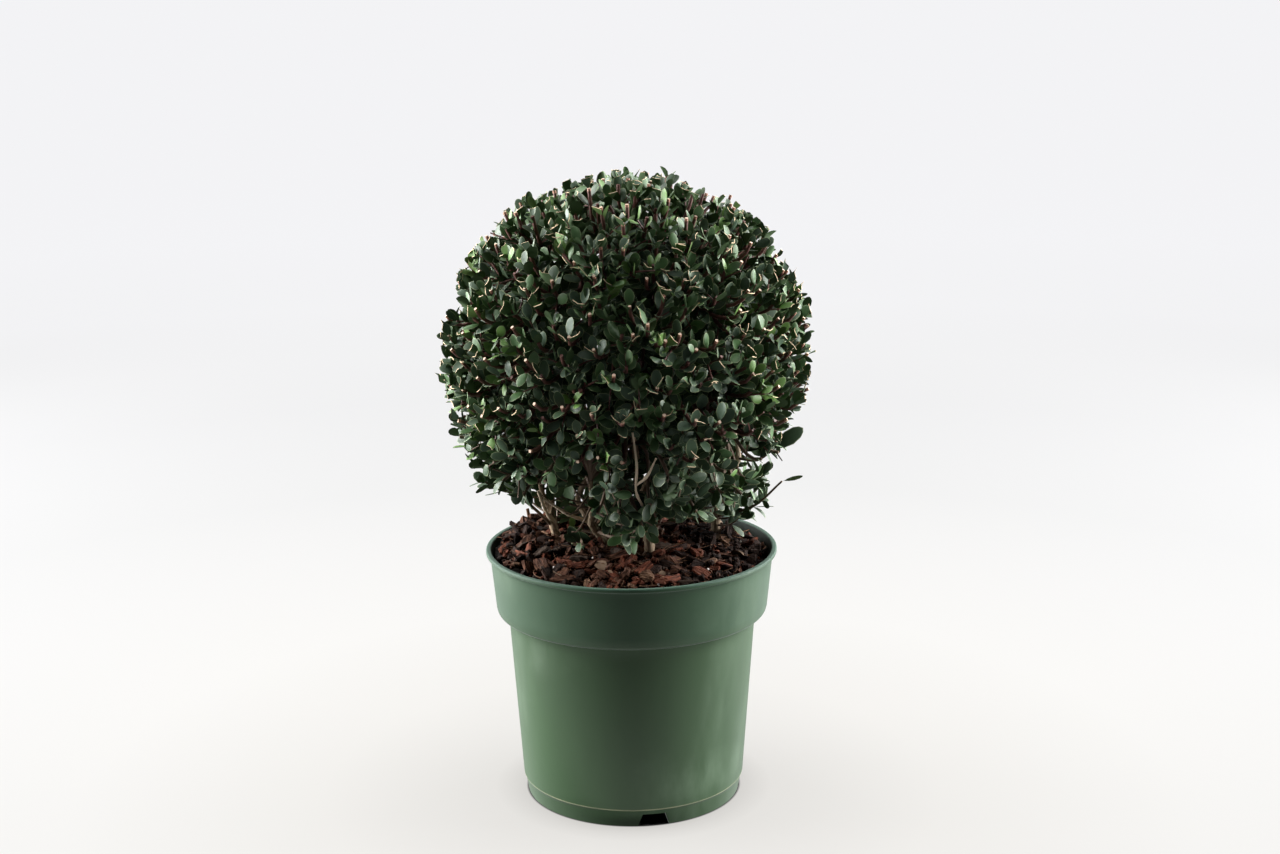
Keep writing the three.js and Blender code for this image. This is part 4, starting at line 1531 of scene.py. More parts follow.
    def clipped(self, leaves: Leaves) -> Leaves:
        """Cuts leaves at the clipped surface, slanted as it lies, and drops the stubs.

        Args:
            leaves: The leaves.

        Returns:
            The whole and the cut ones.
        """
        top = np.clip((self.crown.away(leaves.root)[:, 2] - 0.6) / 0.3, 0, 1)
        slack = self.rng.normal(1.6, 2.3, len(leaves.length)) * (1 + 0.5 * top) + 2.0 * top
        share = self.kept_share(leaves.root, leaves.axis, leaves.length, slack)
        leaves.kept = np.where(share < 0.93, share, 1.0)
        outward = self.crown.away(leaves.at(share))
        ahead = np.maximum((outward * leaves.axis).sum(1), 0.15)
        beside = (outward * np.cross(leaves.axis, leaves.face)).sum(1)
        leaves.slant = np.clip(-beside / ahead * 0.42, -0.36, 0.36)
        return leaves.pick(leaves.kept > 0.5)

    def hung(self, leaves: Leaves) -> Leaves:
        """Drops leaves that hang too low."""
        lowest = np.minimum(leaves.root[:, 2], leaves.at(1.0)[:, 2])
        return leaves.pick(lowest > self.crown.floor(leaves.root))

    def snag_paths(self) -> Floats:
        """Points of the bare old branches, by branch and step."""
        return np.stack([smooth_curve(np.array(snag.knots, float), self.snag_steps) for snag in self.snags])

    def grow_snags(self) -> Shoots:
        """Grows the bare old branches, with knobs at random.

        Returns:
            The branches.
        """
        paths = self.snag_paths()
        radii = np.stack([np.linspace(*snag.radius, self.snag_steps) for snag in self.snags])
        radii = radii * self.rng.uniform(*self.snag_knobs, radii.shape)
        return Shoots(paths, radii, self._owner(self.crown.away(paths[:, -1])))

    def covers(self, points: Floats) -> Mask:
        """Finds points that stand before the wood that shows at the front.

        A point is carried back along the falling line of sight to the wood's depth. It
        covers the wood where it then lies within the window beside it.

        Args:
            points: The points.

        Returns:
            Whether each covers the wood.
        """
        runs = []
        for node, share, room in self.shown:
            path = self.clump.limbs[node].path
            runs.append((path[: round(share * len(path))], room))
        for snag, path in zip(self.snags, self.snag_paths()):
            runs.append((path[round(snag.hidden * len(path)) :], self.window))
        hides = np.zeros(len(points), bool)
        for wood, room in runs:
            x, depth, z = np.moveaxis(wood[None] - points[:, None], -1, 0)
            level = np.abs(-z - self.sight * depth)
            near = (np.abs(x) < room) & (level < self.window_height)
            hides |= (near & (depth > -self.window_behind)).any(axis=1)
        return hides

    def beside(self, shoots: Shoots) -> Shoots:
        """Drops shoots whose tips stand before the wood that shows, or in a hollow."""
        tips = shoots.paths[:, -1]
        return shoots.pick(~(self.covers(tips) | self.in_hollow(tips)))

    def uncovered(self, leaves: Leaves) -> Leaves:
        """Drops leaves before the wood that shows, in the lone leaf's gap or in a hollow."""
        middle = leaves.at(0.6)
        return leaves.pick(~(self.covers(middle) | self.in_gap(middle) | self.in_hollow(middle)))

    def in_gap(self, points: Floats) -> Mask:
        """Whether points lie in the gap that the lone leaf stands in."""
        return (((points - np.array(self.gap)) / np.array(self.gap_reach)) ** 2).sum(axis=-1) < 1

    def in_hollow(self, points: Floats) -> Mask:
        """Finds points that hang into an open stretch under the crown.

        Args:
            points: The points.

        Returns:
            Whether each does.
        """
        level = points[:, 2] + self.sight * points[:, 1]
        inside = np.zeros(len(points), bool)
        for left, right, top in self.hollows:
            inside |= (points[:, 0] > left) & (points[:, 0] < right) & (level < top)
        return inside

    def grow_lone(self) -> Family:
        """Grows the single large leaf that stands out low at the right, on a twig of its own.

        Returns:
            The twig and its leaf.
        """
        foot, root, tip = np.array(self.lone_leaf, float)
        reach = tip - root
        path = smooth_curve([foot, root - reach * 0.4, root], 8)[None]
        axis = unit(reach)[None]
        face = square_to(np.array([[0.1, -0.9, 0.5]]), axis)
        long = np.array([np.linalg.norm(reach)])
        owner = self._owner(self.crown.away(root)[None])
        tint = np.array([LeafSlot.DEEP])
        leaf = Leaves.whole(root[None], axis, face, long, long * self.lone_width, tint, owner)
        twig = Shoots.tapered(path, self.lone_radius, owner)
        return Family(twig, leaf, 5, RodSlots.plain(TwigSlot.OLD))

    def grow(self) -> list[Family]:
        """Grows all the shoots and their leaves, from the inside out.

        Returns:
            The families of shoots.
        """
        rng, old = self.rng, RodSlots.plain(TwigSlot.OLD)
        boughs = self.boughs()
        branches = self.grow_branches()
        inner = self.grow_inner(boughs)
        ways = unit(spread(self.shoots, self.last_polar) + rng.normal(0, 0.035, (self.shoots, 3)))
        ways = ways[~self.in_gap(self.crown.at(ways, self.crown.clip(ways)))]
        polar = np.degrees(np.arccos(ways[:, 2]))
        draw = rng.random(len(ways))
        skirt = (polar > self.skirt_polar) & ((polar < self.thin_polar) | (draw < self.thin_share))
        families = [
            Family(boughs.pick(slice(0)), self.bough_spray.dress(boughs, rng), 5, old),
            Family(branches, self.hung(self.inner_spray.dress(branches, rng)), 7, old),
            Family(inner, self.hung(self.inner_spray.dress(inner, rng)), 5, old),
        ]
        families += self._clipped_families(branches, ways, polar, draw)
        depth = rng.uniform(*self.skirt_depth, skirt.sum())
        shoots = self.beside(self.grow_shoots(branches, ways[skirt], depth))
        sides = self.beside(self.grow_side_shoots(shoots))
        low = self.grow_low_shoots()
        for wood, around in ((shoots, 5), (sides, 4)):
            leaves = self.hung(self.skirt_spray.dress(wood, rng))
            slack = rng.normal(4, 2, len(leaves.length))
            inside = self.kept_share(leaves.root, leaves.axis, leaves.length, slack) > 1
            families.append(Family(wood, leaves.pick(inside), around, old))
        families.append(Family(low, self.low_spray.dress(low, rng), 5, old))
        snags = self.grow_snags()
        for family in families:
            family.leaves = self.uncovered(family.leaves)
        bare = RodSlots(TwigSlot.BARE, TwigSlot.BARE, TwigSlot.CUT)
        families.append(Family(snags, families[0].leaves.pick(slice(0)), 8, bare))
        families.append(self.grow_lone())
        return families

    def _clipped_families(self, branches: Shoots, ways: Floats, polar: Floats, draw: Floats) -> list[Family]:
        """Grows the shoots of the clipped surface: those with cut ends, then those with whole ones.

        Args:
            branches: The branches that they leave.
            ways: Directions of the shoots' tips.
            polar: Their polar angles.
            draw: A random number for each, which shares them out.

        Returns:
            The families of shoots and side shoots.
        """
        rng, red = self.rng, RodSlots.plain(TwigSlot.RED)
        pale_ended = RodSlots(TwigSlot.RED, TwigSlot.YOUNG, TwigSlot.CUT)
        clipped = polar <= self.skirt_polar
        ended = draw < self.cut_share
        families = []
        for chosen, deep, slots in (
            (clipped & ended, self.cut_depth, pale_ended),
            (clipped & ~ended, self.whole_depth, red),
        ):
            angle, count = polar[chosen], chosen.sum()
            proud = (angle < self.proud[0]) & (rng.random(count) < self.proud[1])
            raised = self.raised[1] * (angle < self.raised[0]) + self.proud[2] * proud
            shoots = self.grow_shoots(branches, ways[chosen], rng.uniform(*deep, count) - raised)
            sides = self.grow_side_shoots(shoots)
            families.append(Family(shoots, self.clipped(self.spray.dress(shoots, rng)), 6, slots))
            families.append(Family(sides, self.clipped(self.side_spray.dress(sides, rng)), 4, red))
        return families

    def build(self, leaf: list[Material], twig: list[Material]) -> None:
        """Builds one leaf piece and one twig piece for each mass.

        Args:
            leaf: Leaf materials in the order of LeafSlot.
            twig: Twig materials in the order of TwigSlot.
        """
        families = self.grow()
        leaves = Leaves.joined([family.leaves for family in families])
        LOG.info("%d leaves, %d of them cut", len(leaves.kept), int((leaves.kept < 1).sum()))
        for number, mass in enumerate(self.clump.masses):
            name = mass.name.removeprefix("foliage_")
            blades = self.form.build(leaves.pick(leaves.owner == number), self.rng)
            publish(blades.as_object(f"leaves_{name}", leaf, 75), Slot.LEAF, mass.name)
            wood = []
            for family in families:
                mine = family.shoots.pick(family.shoots.owner == number)
                if len(mine.owner):
                    wood.append(rods(mine.paths, mine.radii, family.sides, family.slots))
            publish(FaceSet.joined(wood).as_object(f"twigs_{name}", twig, 80), Slot.BARK, mass.name)


@dataclass(frozen=True)
class SprigPlan:
    """A low sprig: the stem that it leaves and where, its tip, how it bows, and its leaves."""

    name: str
    stem: str
    leaves_at: float
    tip: Point
    bow: Point
    sprays: tuple[Spray, ...]


# Painted shade: the low sprigs' leaves are mostly the deep tint, darker under the crown.
LEFT_SPRAY = Spray(
    first=0.4, gap=2.3, count=11, lean=(34.0, 70.0), length=(13.0, 18.0),
    tints=(0.7, 0.2, 0.1), upward=0.0, fresh=0.0
)
# Painted shade here too: mostly deep tints.
FRONT_SPRAY = Spray(
    first=0.8, gap=4.2, count=11, lowest=0.25, length=(13.0, 21.0), width_share=(0.4, 0.52),
    tints=(0.75, 0.15, 0.1), fresh=0.0, upward=0.1
)
# Painted shade here too: mostly deep tints.
RIGHT_SPRAY = Spray(
    first=22.0, gap=3.2, count=8, lean=(38.0, 66.0), length=(11.0, 17.0), width_share=(0.34, 0.5),
    tints=(0.7, 0.2, 0.1), upward=0.0, fresh=0.0
)
# The sprig's end leaf always takes the bright young tint: partly a young leaf, partly a painted highlight for
# the light it catches.
RIGHT_END_HIGHLIGHT = Spray(
    first=0.4, count=1, lean=(4.0, 8.0), length=(20.0, 21.0), width_share=(0.22, 0.24),
    tints=(0.0, 1.0, 0.0), upward=-0.5, fresh=1.0
)


@dataclass
class Sprigs:
    """The thin shoots that leave the stems near the bark."""

    clump: Clump
    foliage: Foliage
    plans: tuple[SprigPlan, ...] = (
        SprigPlan("left", "left", 0.4, (-116, -10, 258), (3, -3, 5), (LEFT_SPRAY,)),
        SprigPlan("front", "front_left", 0.42, (4, -62, 232), (0, -4, -4), (FRONT_SPRAY,)),
        SprigPlan("right", "back_right", 0.4, (120, 12, 250), (4, 0, -6), (RIGHT_SPRAY, RIGHT_END_HIGHLIGHT)),
    )
    radius: Span = (1.5, 0.8)
    steps: int = 14
    sides: int = 7
    form: LeafForm = LeafForm()

    def build(self, leaf: list[Material], twig: list[Material], rng: Random) -> None:
        """Builds each sprig as a twig piece and a leaf piece.

        Args:
            leaf: Leaf materials in the order of LeafSlot.
            twig: Twig materials in the order of TwigSlot.
            rng: Random numbers.
        """
        for plan in self.plans:
            node = f"sprig_{plan.name}"
            start, tip = self.clump.on_stem(plan.stem, plan.leaves_at), np.array(plan.tip, float)
            path = smooth_curve([start, (start + tip) / 2 + np.array(plan.bow), tip], self.steps)[None]
            shoot = Shoots.tapered(path, self.radius, np.zeros(1, int))
            rod = rods(path, shoot.radii, self.sides, RodSlots.plain(TwigSlot.OLD))
            publish(rod.as_object(f"twig_{node}", twig, 80), Slot.BARK, node)
            leaves = Leaves.joined([spray.dress(shoot, rng) for spray in plan.sprays])
            blades = self.form.build(self.foliage.uncovered(leaves), rng)
            publish(blades.as_object(f"leaves_{node}", leaf, 75), Slot.LEAF, node)


# Pot


def bend(centre: Span, radius: float, turn: Span, steps: int) -> Floats:
    """Points of an arc in the profile plane, from one angle to another in degrees."""
    angle = np.radians(np.linspace(*turn, steps))
    return np.array(centre) + radius * np.stack([np.cos(angle), np.sin(angle)], axis=1)


def straight(start: Span, end: Span, steps: int) -> Floats:
    """Points of a straight stretch in the profile plane, its end left out."""
    return np.linspace(start, end, steps, endpoint=False)


@dataclass
class Pot:
    """The nursery pot: a thin wall with a wide collar, a rolled lip and notched drains."""

    height: float = 202.0
    rim_radius: float = 115.0
    lip_height: float = 3.4
    lip_overhang: float = 3.2
    lip_rows: int = 5  # of the profile, to each side of its top
    collar_height: float = 51.0
    collar_foot: float = 107.3
    collar_rounding: float = 3.5
    nook: float = 1.2  # radius of the hollow corners under collar and lip
    ease: float = 0.2  # set-off of the insides of lip and foot
    wall_top: float = 98.2
    wall_foot: float = 88.8
    wall: float = 1.8
    seam: float = 14.0
    seam_step: float = 0.9
    foot: float = 85.4
    skirt: float = 2.2
    skirt_slope: float = 1.6  # how much further out its inside meets the floor
    floor: float = 9.0
    floor_thickness: float = 2.0
    drains: int = 3
    first_drain: float = -79.3  # azimuth
    drain_width: Span = (24.6, 17.5)  # at the ground and at the top
    drain_height: float = 10.2
    slot: Span = (60.0, 82.0)  # distances from the axis between which the floor is open
    slot_width: float = 16.0
    hub: float = 6.0  # radius of the disc that closes the floor's middle
    columns: int = 192
    sag: float = 0.35  # how far the rim is out of round

    def profile(self) -> Floats:
        """Outline of the wall, up the outside and down the inside.

        Returns:
            Radius and height of each point.
        """
        collar_low = self.height - self.collar_height
        collar_top = self.rim_radius - self.lip_overhang
        lip_low = self.height - self.lip_height
        shelf = collar_low + self.wall
        curve, bead, nook = self.collar_rounding, self.lip_height / 3, self.nook
        skirt_top = (self.wall_foot - self.seam_step, self.seam - self.seam_step / 2)
        wall_low = (self.wall_foot, self.seam + self.seam_step / 2)
        lean = (collar_top - self.collar_foot) / (lip_low - collar_low)
        floor_top = self.floor + self.floor_thickness
        inside_foot = (self.wall_foot - self.wall - self.ease, floor_top)

        def inner(height: float) -> float:
            """Radius of the collar's inside at a height."""
            return self.collar_foot + lean * (height - collar_low) - self.wall

        return np.vstack(
            [
                straight((self.foot, 0), skirt_top, 5),
                straight(skirt_top, wall_low, 2),
                straight(wall_low, (self.wall_top, collar_low - nook), 12),
                bend((self.wall_top + nook, collar_low - nook), nook, (180, 90), 4),
                bend((self.collar_foot - curve, collar_low + curve), curve, (-90, 0), 8),
                straight(
                    (self.collar_foot + lean * curve, collar_low + curve + 1), (collar_top, lip_low - nook), 8
                ),
                bend((collar_top + nook, lip_low - nook), nook, (180, 90), 4),
                bend((self.rim_radius - bead, lip_low + bead), bead, (-80, 0), 6),
                bend((self.rim_radius - bead, self.height - bead), bead, (0, 90), 6),
                bend((collar_top + self.ease, self.height - bead), bead, (90, 180), 6),
                straight((inner(lip_low), lip_low), (inner(shelf + curve), shelf + curve), 6),
                bend((inner(shelf + curve) - curve, shelf + curve), curve, (0, -90), 6),
                straight((self.wall_top - self.wall, shelf), inside_foot, 6),
                [inside_foot],
                [(radius, floor_top) for radius in (*self.slot[::-1], self.hub)],
                [(radius, self.floor) for radius in (self.hub, *self.slot)],
                [(self.foot - self.skirt + self.skirt_slope, self.floor), (self.foot - self.skirt, 0)],
            ]
        )

    def build(self, plastic: Material, rim: Material, dirty: Material) -> None:
        """Builds the pot by carrying its profile round the axis.

        A point has its profile's radius, a little out of round by a slow wave that grows
        with height, at its column's turn. The lowest rows rise to the top of each drain
        notch, and quads between the slots' edges are left out and walled.

        Args:
            plastic: Material of the outside.
            rim: Material of the lip, a bluer green as painted shade.
            dirty: Material of the inside, dark with dirt and with painted shade.
        """
        profile = self.profile()
        half = np.degrees(np.arcsin(np.array(self.drain_width) / 2 / self.foot))
        slot = math.degrees(self.slot_width / 2 / np.mean(self.slot))
        drains = self.first_drain + np.arange(self.drains) * 360 / self.drains
        edges = (drains[:, None] + np.array([*half, *-half, slot, -slot])).ravel()
        turn = np.concatenate([np.linspace(0, 360, self.columns, endpoint=False), edges])
        turn = np.sort(np.mod(turn, 360))
        from_drain = np.abs(np.mod(turn[:, None] - drains + 180, 360) - 180).min(axis=1)
        notch = np.interp(from_drain, half[::-1], (self.drain_height, 0.0))
        rows, columns = len(profile), len(turn)
        radius = np.repeat(profile[:, :1], columns, axis=1)
        height = np.repeat(profile[:, 1:], columns, axis=1)
        lean = (self.wall_foot - self.seam_step - self.foot) / self.seam
        low = profile[:, 1:] < self.drain_height
        raised = np.where(low, np.maximum(height, notch), height)
        outside = np.arange(rows)[:, None] < rows / 2
        radius = radius + np.where(low & outside, (raised - height) * lean, 0)
        angle = np.radians(turn)
        swell = self.sag * (height / self.height) * np.sin(2 * angle + 0.7)[None]
        radius = radius + np.where(radius > self.slot[1] + 1, swell, 0)
        points = np.stack([radius * np.cos(angle), radius * np.sin(angle), raised], axis=-1).reshape(-1, 3)
        walls = grid(rows, columns)
        last_row = (rows - 1) * columns
        ends = np.arange(columns)
        onward = (ends + 1) % columns
        close = joined_up(last_row + ends, last_row + onward, onward, ends)
        middle = (turn + np.mod(np.roll(turn, -1) - turn, 360) / 2)[:, None]
        open_column = (np.abs(np.mod(middle - drains + 180, 360) - 180) < slot).any(axis=1)
        top_row = int(np.argmax((profile[:, 0] == self.slot[1]) & (profile[:, 1] > self.floor)))
        low_row = int(np.argmax((profile[:, 0] == self.slot[0]) & (profile[:, 1] == self.floor)))
        keep = np.ones(walls.shape[:2], bool)
        keep[[top_row, low_row]] = ~open_column
        keep[top_row + 2] = False
        from_crest = np.arange(rows - 1) - int(np.argmax(profile[:, 1]))
        # Slot 1 is the lip, a bluer green as painted shade; slot 2 is the inside, dark with dirt and painted
        # shade.
        kinds = np.where(from_crest < -self.lip_rows, 0, np.where(from_crest < self.lip_rows, 1, 2))
        kinds = np.broadcast_to(kinds[:, None], keep.shape)
        faces = [(walls[keep], kinds[keep]), (close, 0)]
        faces += [(self._slot_walls(columns, open_column, top_row, low_row), 0)]
        hub_top, hub_low = (top_row + 2) * columns + ends, (low_row - 1) * columns + ends[::-1]
        faces += [(hub_top[None], 0), (hub_low[None], 0)]
        shape = FaceSet.of(points, faces)
        publish(shape.as_object("pot_shell", [plastic, rim, dirty], 38), Slot.POT, "pot")

    @staticmethod
    def _slot_walls(columns: int, open_column: Mask, top_row: int, low_row: int) -> Ints:
        """Quads that line the slots between the floor's upper and lower side.

        Args:
            columns: Points in a row.
            open_column: Which columns of quads are open.
            top_row: Row of the slot's outer edge on the upper side; its inner edge is next.
            low_row: Row of the inner edge on the lower side; its outer edge is next.

        Returns:
            Four corners for each quad.
        """
        here = np.flatnonzero(open_column)
        onward = (here + 1) % columns
        first, last = here[~open_column[here - 1]], onward[~open_column[onward]]
        outer, inner, inner_low, outer_low = (
            row * columns for row in (top_row, top_row + 1, low_row, low_row + 1)
        )
        return np.concatenate(
            [
                joined_up(outer + here, outer + onward, outer_low + onward, outer_low + here),
                joined_up(inner + onward, inner + here, inner_low + here, inner_low + onward),
                joined_up(outer + first, outer_low + first, inner_low + first, inner + first),
                joined_up(outer + last, inner + last, inner_low + last, outer_low + last),
            ]
        )


# Bark mulch


class ChipSlot(IntEnum):
    """Material slots of the mulch's loose pieces."""

    RED = 0
    BROWN = 1
    DARK = 2
    PALE = 3
    GREY = 4


@dataclass(frozen=True)
class Scatter:
    """How many pieces to spread, how far from the axis, and the room that they leave to a stem."""

    count: int
    reach: float
    stem_room: float


@dataclass
class Mulch:
    """The potting mix and the loose bark on it."""

    clump: Clump
    level: float = 200.0  # at the axis, without the dome
    dome: float = 4.0  # how much higher the middle is
    heap: float = 6.0  # rise towards the heaped side
    heap_azimuth: float = 150.0
    lump: float = 1.3
    edge_drop: float = 5.0
    edge: float = 108.4
    bank: float = 5.0
    bank_at: Point = (138.0, 88.0, 26.0)  # azimuth, distance from the axis and reach
    swell: float = 1.5
    swell_at: Point = (5.0, 84.0, 34.0)
    floor: float = 11.3
    shelf: float = 153.1
    inner_floor: float = 86.0
    inner_top: float = 95.6
    rings: int = 44
    columns: int = 144
    flakes: tuple[tuple[float, float, float, float, ChipSlot], ...] = (  # across, depth, length, width
        (-69, -58, 22, 13, ChipSlot.BROWN),
        (-41, -62, 20, 10, ChipSlot.RED),
        (-24, -78, 22, 11, ChipSlot.BROWN),
        (10, -72, 21, 12, ChipSlot.RED),
        (38, -64, 20, 10, ChipSlot.BROWN),
        (-86, -18, 24, 13, ChipSlot.GREY),
        (-72, -34, 22, 13, ChipSlot.GREY),
        (60, -50, 19, 10, ChipSlot.PALE),
        (-52, -76, 20, 12, ChipSlot.BROWN),
        (-4, -52, 19, 13, ChipSlot.RED),
        (30, -84, 24, 11, ChipSlot.RED),
        (76, -20, 22, 13, ChipSlot.BROWN),
        (-80, 34, 26, 16, ChipSlot.BROWN),
        (20, 84, 26, 16, ChipSlot.RED),
        (-30, 88, 24, 15, ChipSlot.PALE),
    )
    wall_room: float = 108.6  # radius that loose pieces stay within
    damp: float = 38.0  # distance to the sides from which more bark is dark, as painted shade
    damp_shares: Span = (0.75, 0.35)  # at the right and at the left
    lower_chips: Scatter = Scatter(600, 103, 8)
    upper_chips: Scatter = Scatter(200, 100, 11)
    crumbs: Scatter = Scatter(1500, 106, 7)
    fibres: Scatter = Scatter(300, 102, 5)
    dry_leaves: Scatter = Scatter(22, 100, 8)
    white_bits: Scatter = Scatter(26, 98, 8)
    chip_least: Point = (6.0, 4.0, 2.4)
    chip_most: Point = (27.0, 13.0, 6.0)
    chip_shares: tuple[float, ...] = (0.36, 0.3, 0.14, 0.1, 0.1)
    crumb_shares: tuple[float, ...] = (0.36, 0.3, 0.26, 0.05, 0.03)
    stubs: tuple[Point, ...] = ((-83.0, 50.0, 206.0), (-96.0, 30.0, 201.0), (-60.0, 74.0, 206.0))
    stub_leans: tuple[Point, ...] = ((-2.0, 1.0, 12.0), (3.0, 2.0, 10.0), (2.0, 0.0, 11.0))
    stub_radius: float = 1.3
    curled: LeafForm = LeafForm(droop=(0.15, 0.5), fold=(0.2, 0.9))

    def height(self, places: Floats) -> Floats:
        """Height of the mix at level places: a dome that leans to the heap, with lumps.

        The dome falls with the square of the distance from the axis, the lean rises along
        the heap's azimuth, the lumps are products of waves, and close to the wall it drops
        with the sixth power of the distance. A bank against the rim and a swelling are added
        as bells.

        Args:
            places: Level places.

        Returns:
            The heights.
        """
        x, y = places[..., 0], places[..., 1]
        share = np.hypot(x, y) / self.edge
        towards = direction(self.heap_azimuth, 90)
        slope = (x * towards[0] + y * towards[1]) / self.edge
        lumps = np.sin(x / 9 + 1.3) * np.cos(y / 11) + np.sin((x + y) / 14)
        top = self.level + self.dome * (1 - share**2) + self.heap * slope
        top = top + self.lump * lumps - self.edge_drop * share**6
        for rise, (azimuth, distance, reach) in ((self.bank, self.bank_at), (self.swell, self.swell_at)):
            middle = direction(azimuth, 90) * distance
            top = top + rise * np.exp(-((x - middle[0]) ** 2 + (y - middle[1]) ** 2) / reach**2)
        return top

    def on_top(self, spots: Floats, lift: float | Floats) -> Floats:
        """Points above level places of the mix."""
        return np.concatenate([spots, (self.height(spots) + lift)[:, None]], axis=1)

    def bed(self, material: Material) -> None:
        """Builds the mix itself, a closed body inside the pot with a crumbly top.

        The top is a grid of rings and turns at the mix's height, with two finer sets of
        waves for crumbs. The sides follow the pot's wall.

        Args:
            material: Material of the mix.
        """
        turn = full_turn(self.columns)
        cosine, sine = np.cos(turn), np.sin(turn)
        side = np.array(
            [
                (self.inner_floor * 0.05, self.floor),
                (self.inner_floor, self.floor),
                (self.inner_top, self.shelf),
                (self.edge - 4, self.shelf),
                (self.edge - 3.4, self.shelf + 4),
            ]
        )
        radius = np.linspace(self.edge, 2.0, self.rings)[:, None]
        x, y = radius * cosine, radius * sine
        crumbs = np.sin(x / 1.9 + 2 * np.sin(y / 4)) * np.sin(y / 2.2 + 1.5 * np.sin(x / 5))
        crumbs = crumbs + 0.6 * np.sin(x / 3.7 - y / 2.9 + 1)
        top = self.height(np.stack([x, y], axis=-1)) - 2.5 + 1.1 * crumbs
        low = np.repeat(side[:, 1:], self.columns, axis=1)
        below = np.stack([side[:, :1] * cosine, side[:, :1] * sine, low], axis=-1)
        points = np.concatenate([below, np.stack([x, y, top], axis=-1)]).reshape(-1, 3)
        rows = len(side) + self.rings
        ends = np.arange(self.columns)
        lid = (rows - 1) * self.columns + ends
        shape = FaceSet.of(points, [(grid(rows, self.columns), 0), (ends[::-1][None], 0), (lid[None], 0)])
        publish(shape.as_object("mulch_bed", [material], 60), Slot.MULCH, "potting_mix")

    def places(self, scatter: Scatter, rng: Random) -> Floats:
        """Spreads even places on the mix and drops those at a stem.

        Args:
            scatter: How many, how far and how close to a stem.
            rng: Random numbers.

        Returns:
            Level places, one a row.
        """
        number = np.arange(scatter.count)
        radius = scatter.reach * np.sqrt((number + 0.5) / scatter.count)
        spots = np.stack([radius * np.cos(number * SPIRAL), radius * np.sin(number * SPIRAL)], axis=1)
        spots = spots + rng.normal(0, 2.4, spots.shape)
        feet = np.array([plan.foot for plan in (*self.clump.outer, self.clump.middle)])
        clear = np.linalg.norm(spots[:, None] - feet[None], axis=2).min(axis=1) > scatter.stem_room
        inside = np.linalg.norm(spots, axis=1) < scatter.reach + 2
        return spots[clear & inside]

    def within(self, points: Floats) -> Floats:
        """Points drawn in to stay clear of the pot's wall."""
        level = np.linalg.norm(points[..., :2], axis=-1, keepdims=True)
        draw = np.minimum(1.0, self.wall_room / np.maximum(level, 1.0))
        return np.concatenate([points[..., :2] * draw, points[..., 2:]], axis=-1)

    def lumps(
        self, spots: Floats, sizes: Floats, lift: Floats, tilt: float, corners: int, slots: Ints, rng: Random
    ) -> FaceSet:
        """Builds broken pieces of bark that lie on the mix.

        Each is a closed slab of three uneven rings with a point above and below. A ring's
        point is at its turn, at a radius that changes from corner to corner, times half
        the length and width. The slab is then bent along its length by a wave.

        Args:
            spots: Level places.
            sizes: Length, width and thickness of each.
            lift: Height of each above the mix.
            tilt: How far they tilt, in radians.
            corners: Corners of a ring.
            slots: Material slot of each.
            rng: Random numbers.

        Returns:
            All the pieces as one set.
        """
        many = len(spots)
        turn = full_turn(corners) + rng.uniform(-0.25, 0.25, (many, 1, corners))
        blunt = (np.abs(np.cos(turn)) ** 3.2 + np.abs(np.sin(turn)) ** 3.2) ** (-1 / 3.2)
        reach = blunt * rng.uniform(0.72, 1.08, (many, 1, corners))
        reach = reach * rng.uniform(0.88, 1.08, (many, 3, corners)) * np.array([[[0.84], [1.0], [0.8]]])
        level = np.array([[[0.5], [0.05], [-0.5]]]) * rng.uniform(0.55, 1.25, (many, 3, corners))
        ring = np.stack([reach * np.cos(turn), reach * np.sin(turn), level], axis=-1)
        ring[..., :2] /= 2
        poles = np.zeros((many, 2, 3))
        poles[:, :, :2] = rng.uniform(-0.15, 0.15, (many, 2, 2))
        poles[:, :, 2] = rng.uniform(0.25, 0.75, (many, 2)) * np.array([1, -1])
        local = np.concatenate([ring.reshape(many, -1, 3), poles], axis=1) * sizes[:, None]
        long = sizes[:, :1]
        local[..., 2] += 0.12 * long * np.sin(local[..., 0] / long * 4) * rng.uniform(-1, 1, (many, 1))
        chart = local[..., :2] + rng.uniform(0, 400, (many, 1, 2))
        heading = rng.uniform(0, 2 * np.pi, many)
        normal = unit(np.concatenate([rng.normal(0, tilt, (many, 2)), np.ones((many, 1))], axis=1))
        axis = square_to(np.stack([np.cos(heading), np.sin(heading), np.zeros(many)], axis=1), normal)
        basis = np.stack([axis, np.cross(normal, axis), normal], axis=1)
        points = np.einsum("nvi,nij->nvj", local, basis) + self.on_top(spots, lift)[:, None]
        points = self.within(points)
        shift = (np.arange(many) * points.shape[1])[:, None, None]
        ends = np.arange(corners)
        onward = (ends + 1) % corners
        top = joined_up(ends, onward, 3 * corners)
        low = joined_up(2 * corners + onward, 2 * corners + ends, 3 * corners + 1)
        walls = grid(3, corners)[..., ::-1].reshape(-1, 4)
        blocks = [(block[None] + shift, np.repeat(slots, len(block))) for block in (top, low, walls)]
        return FaceSet.of(points.reshape(-1, 3), blocks, chart.reshape(-1, 2))

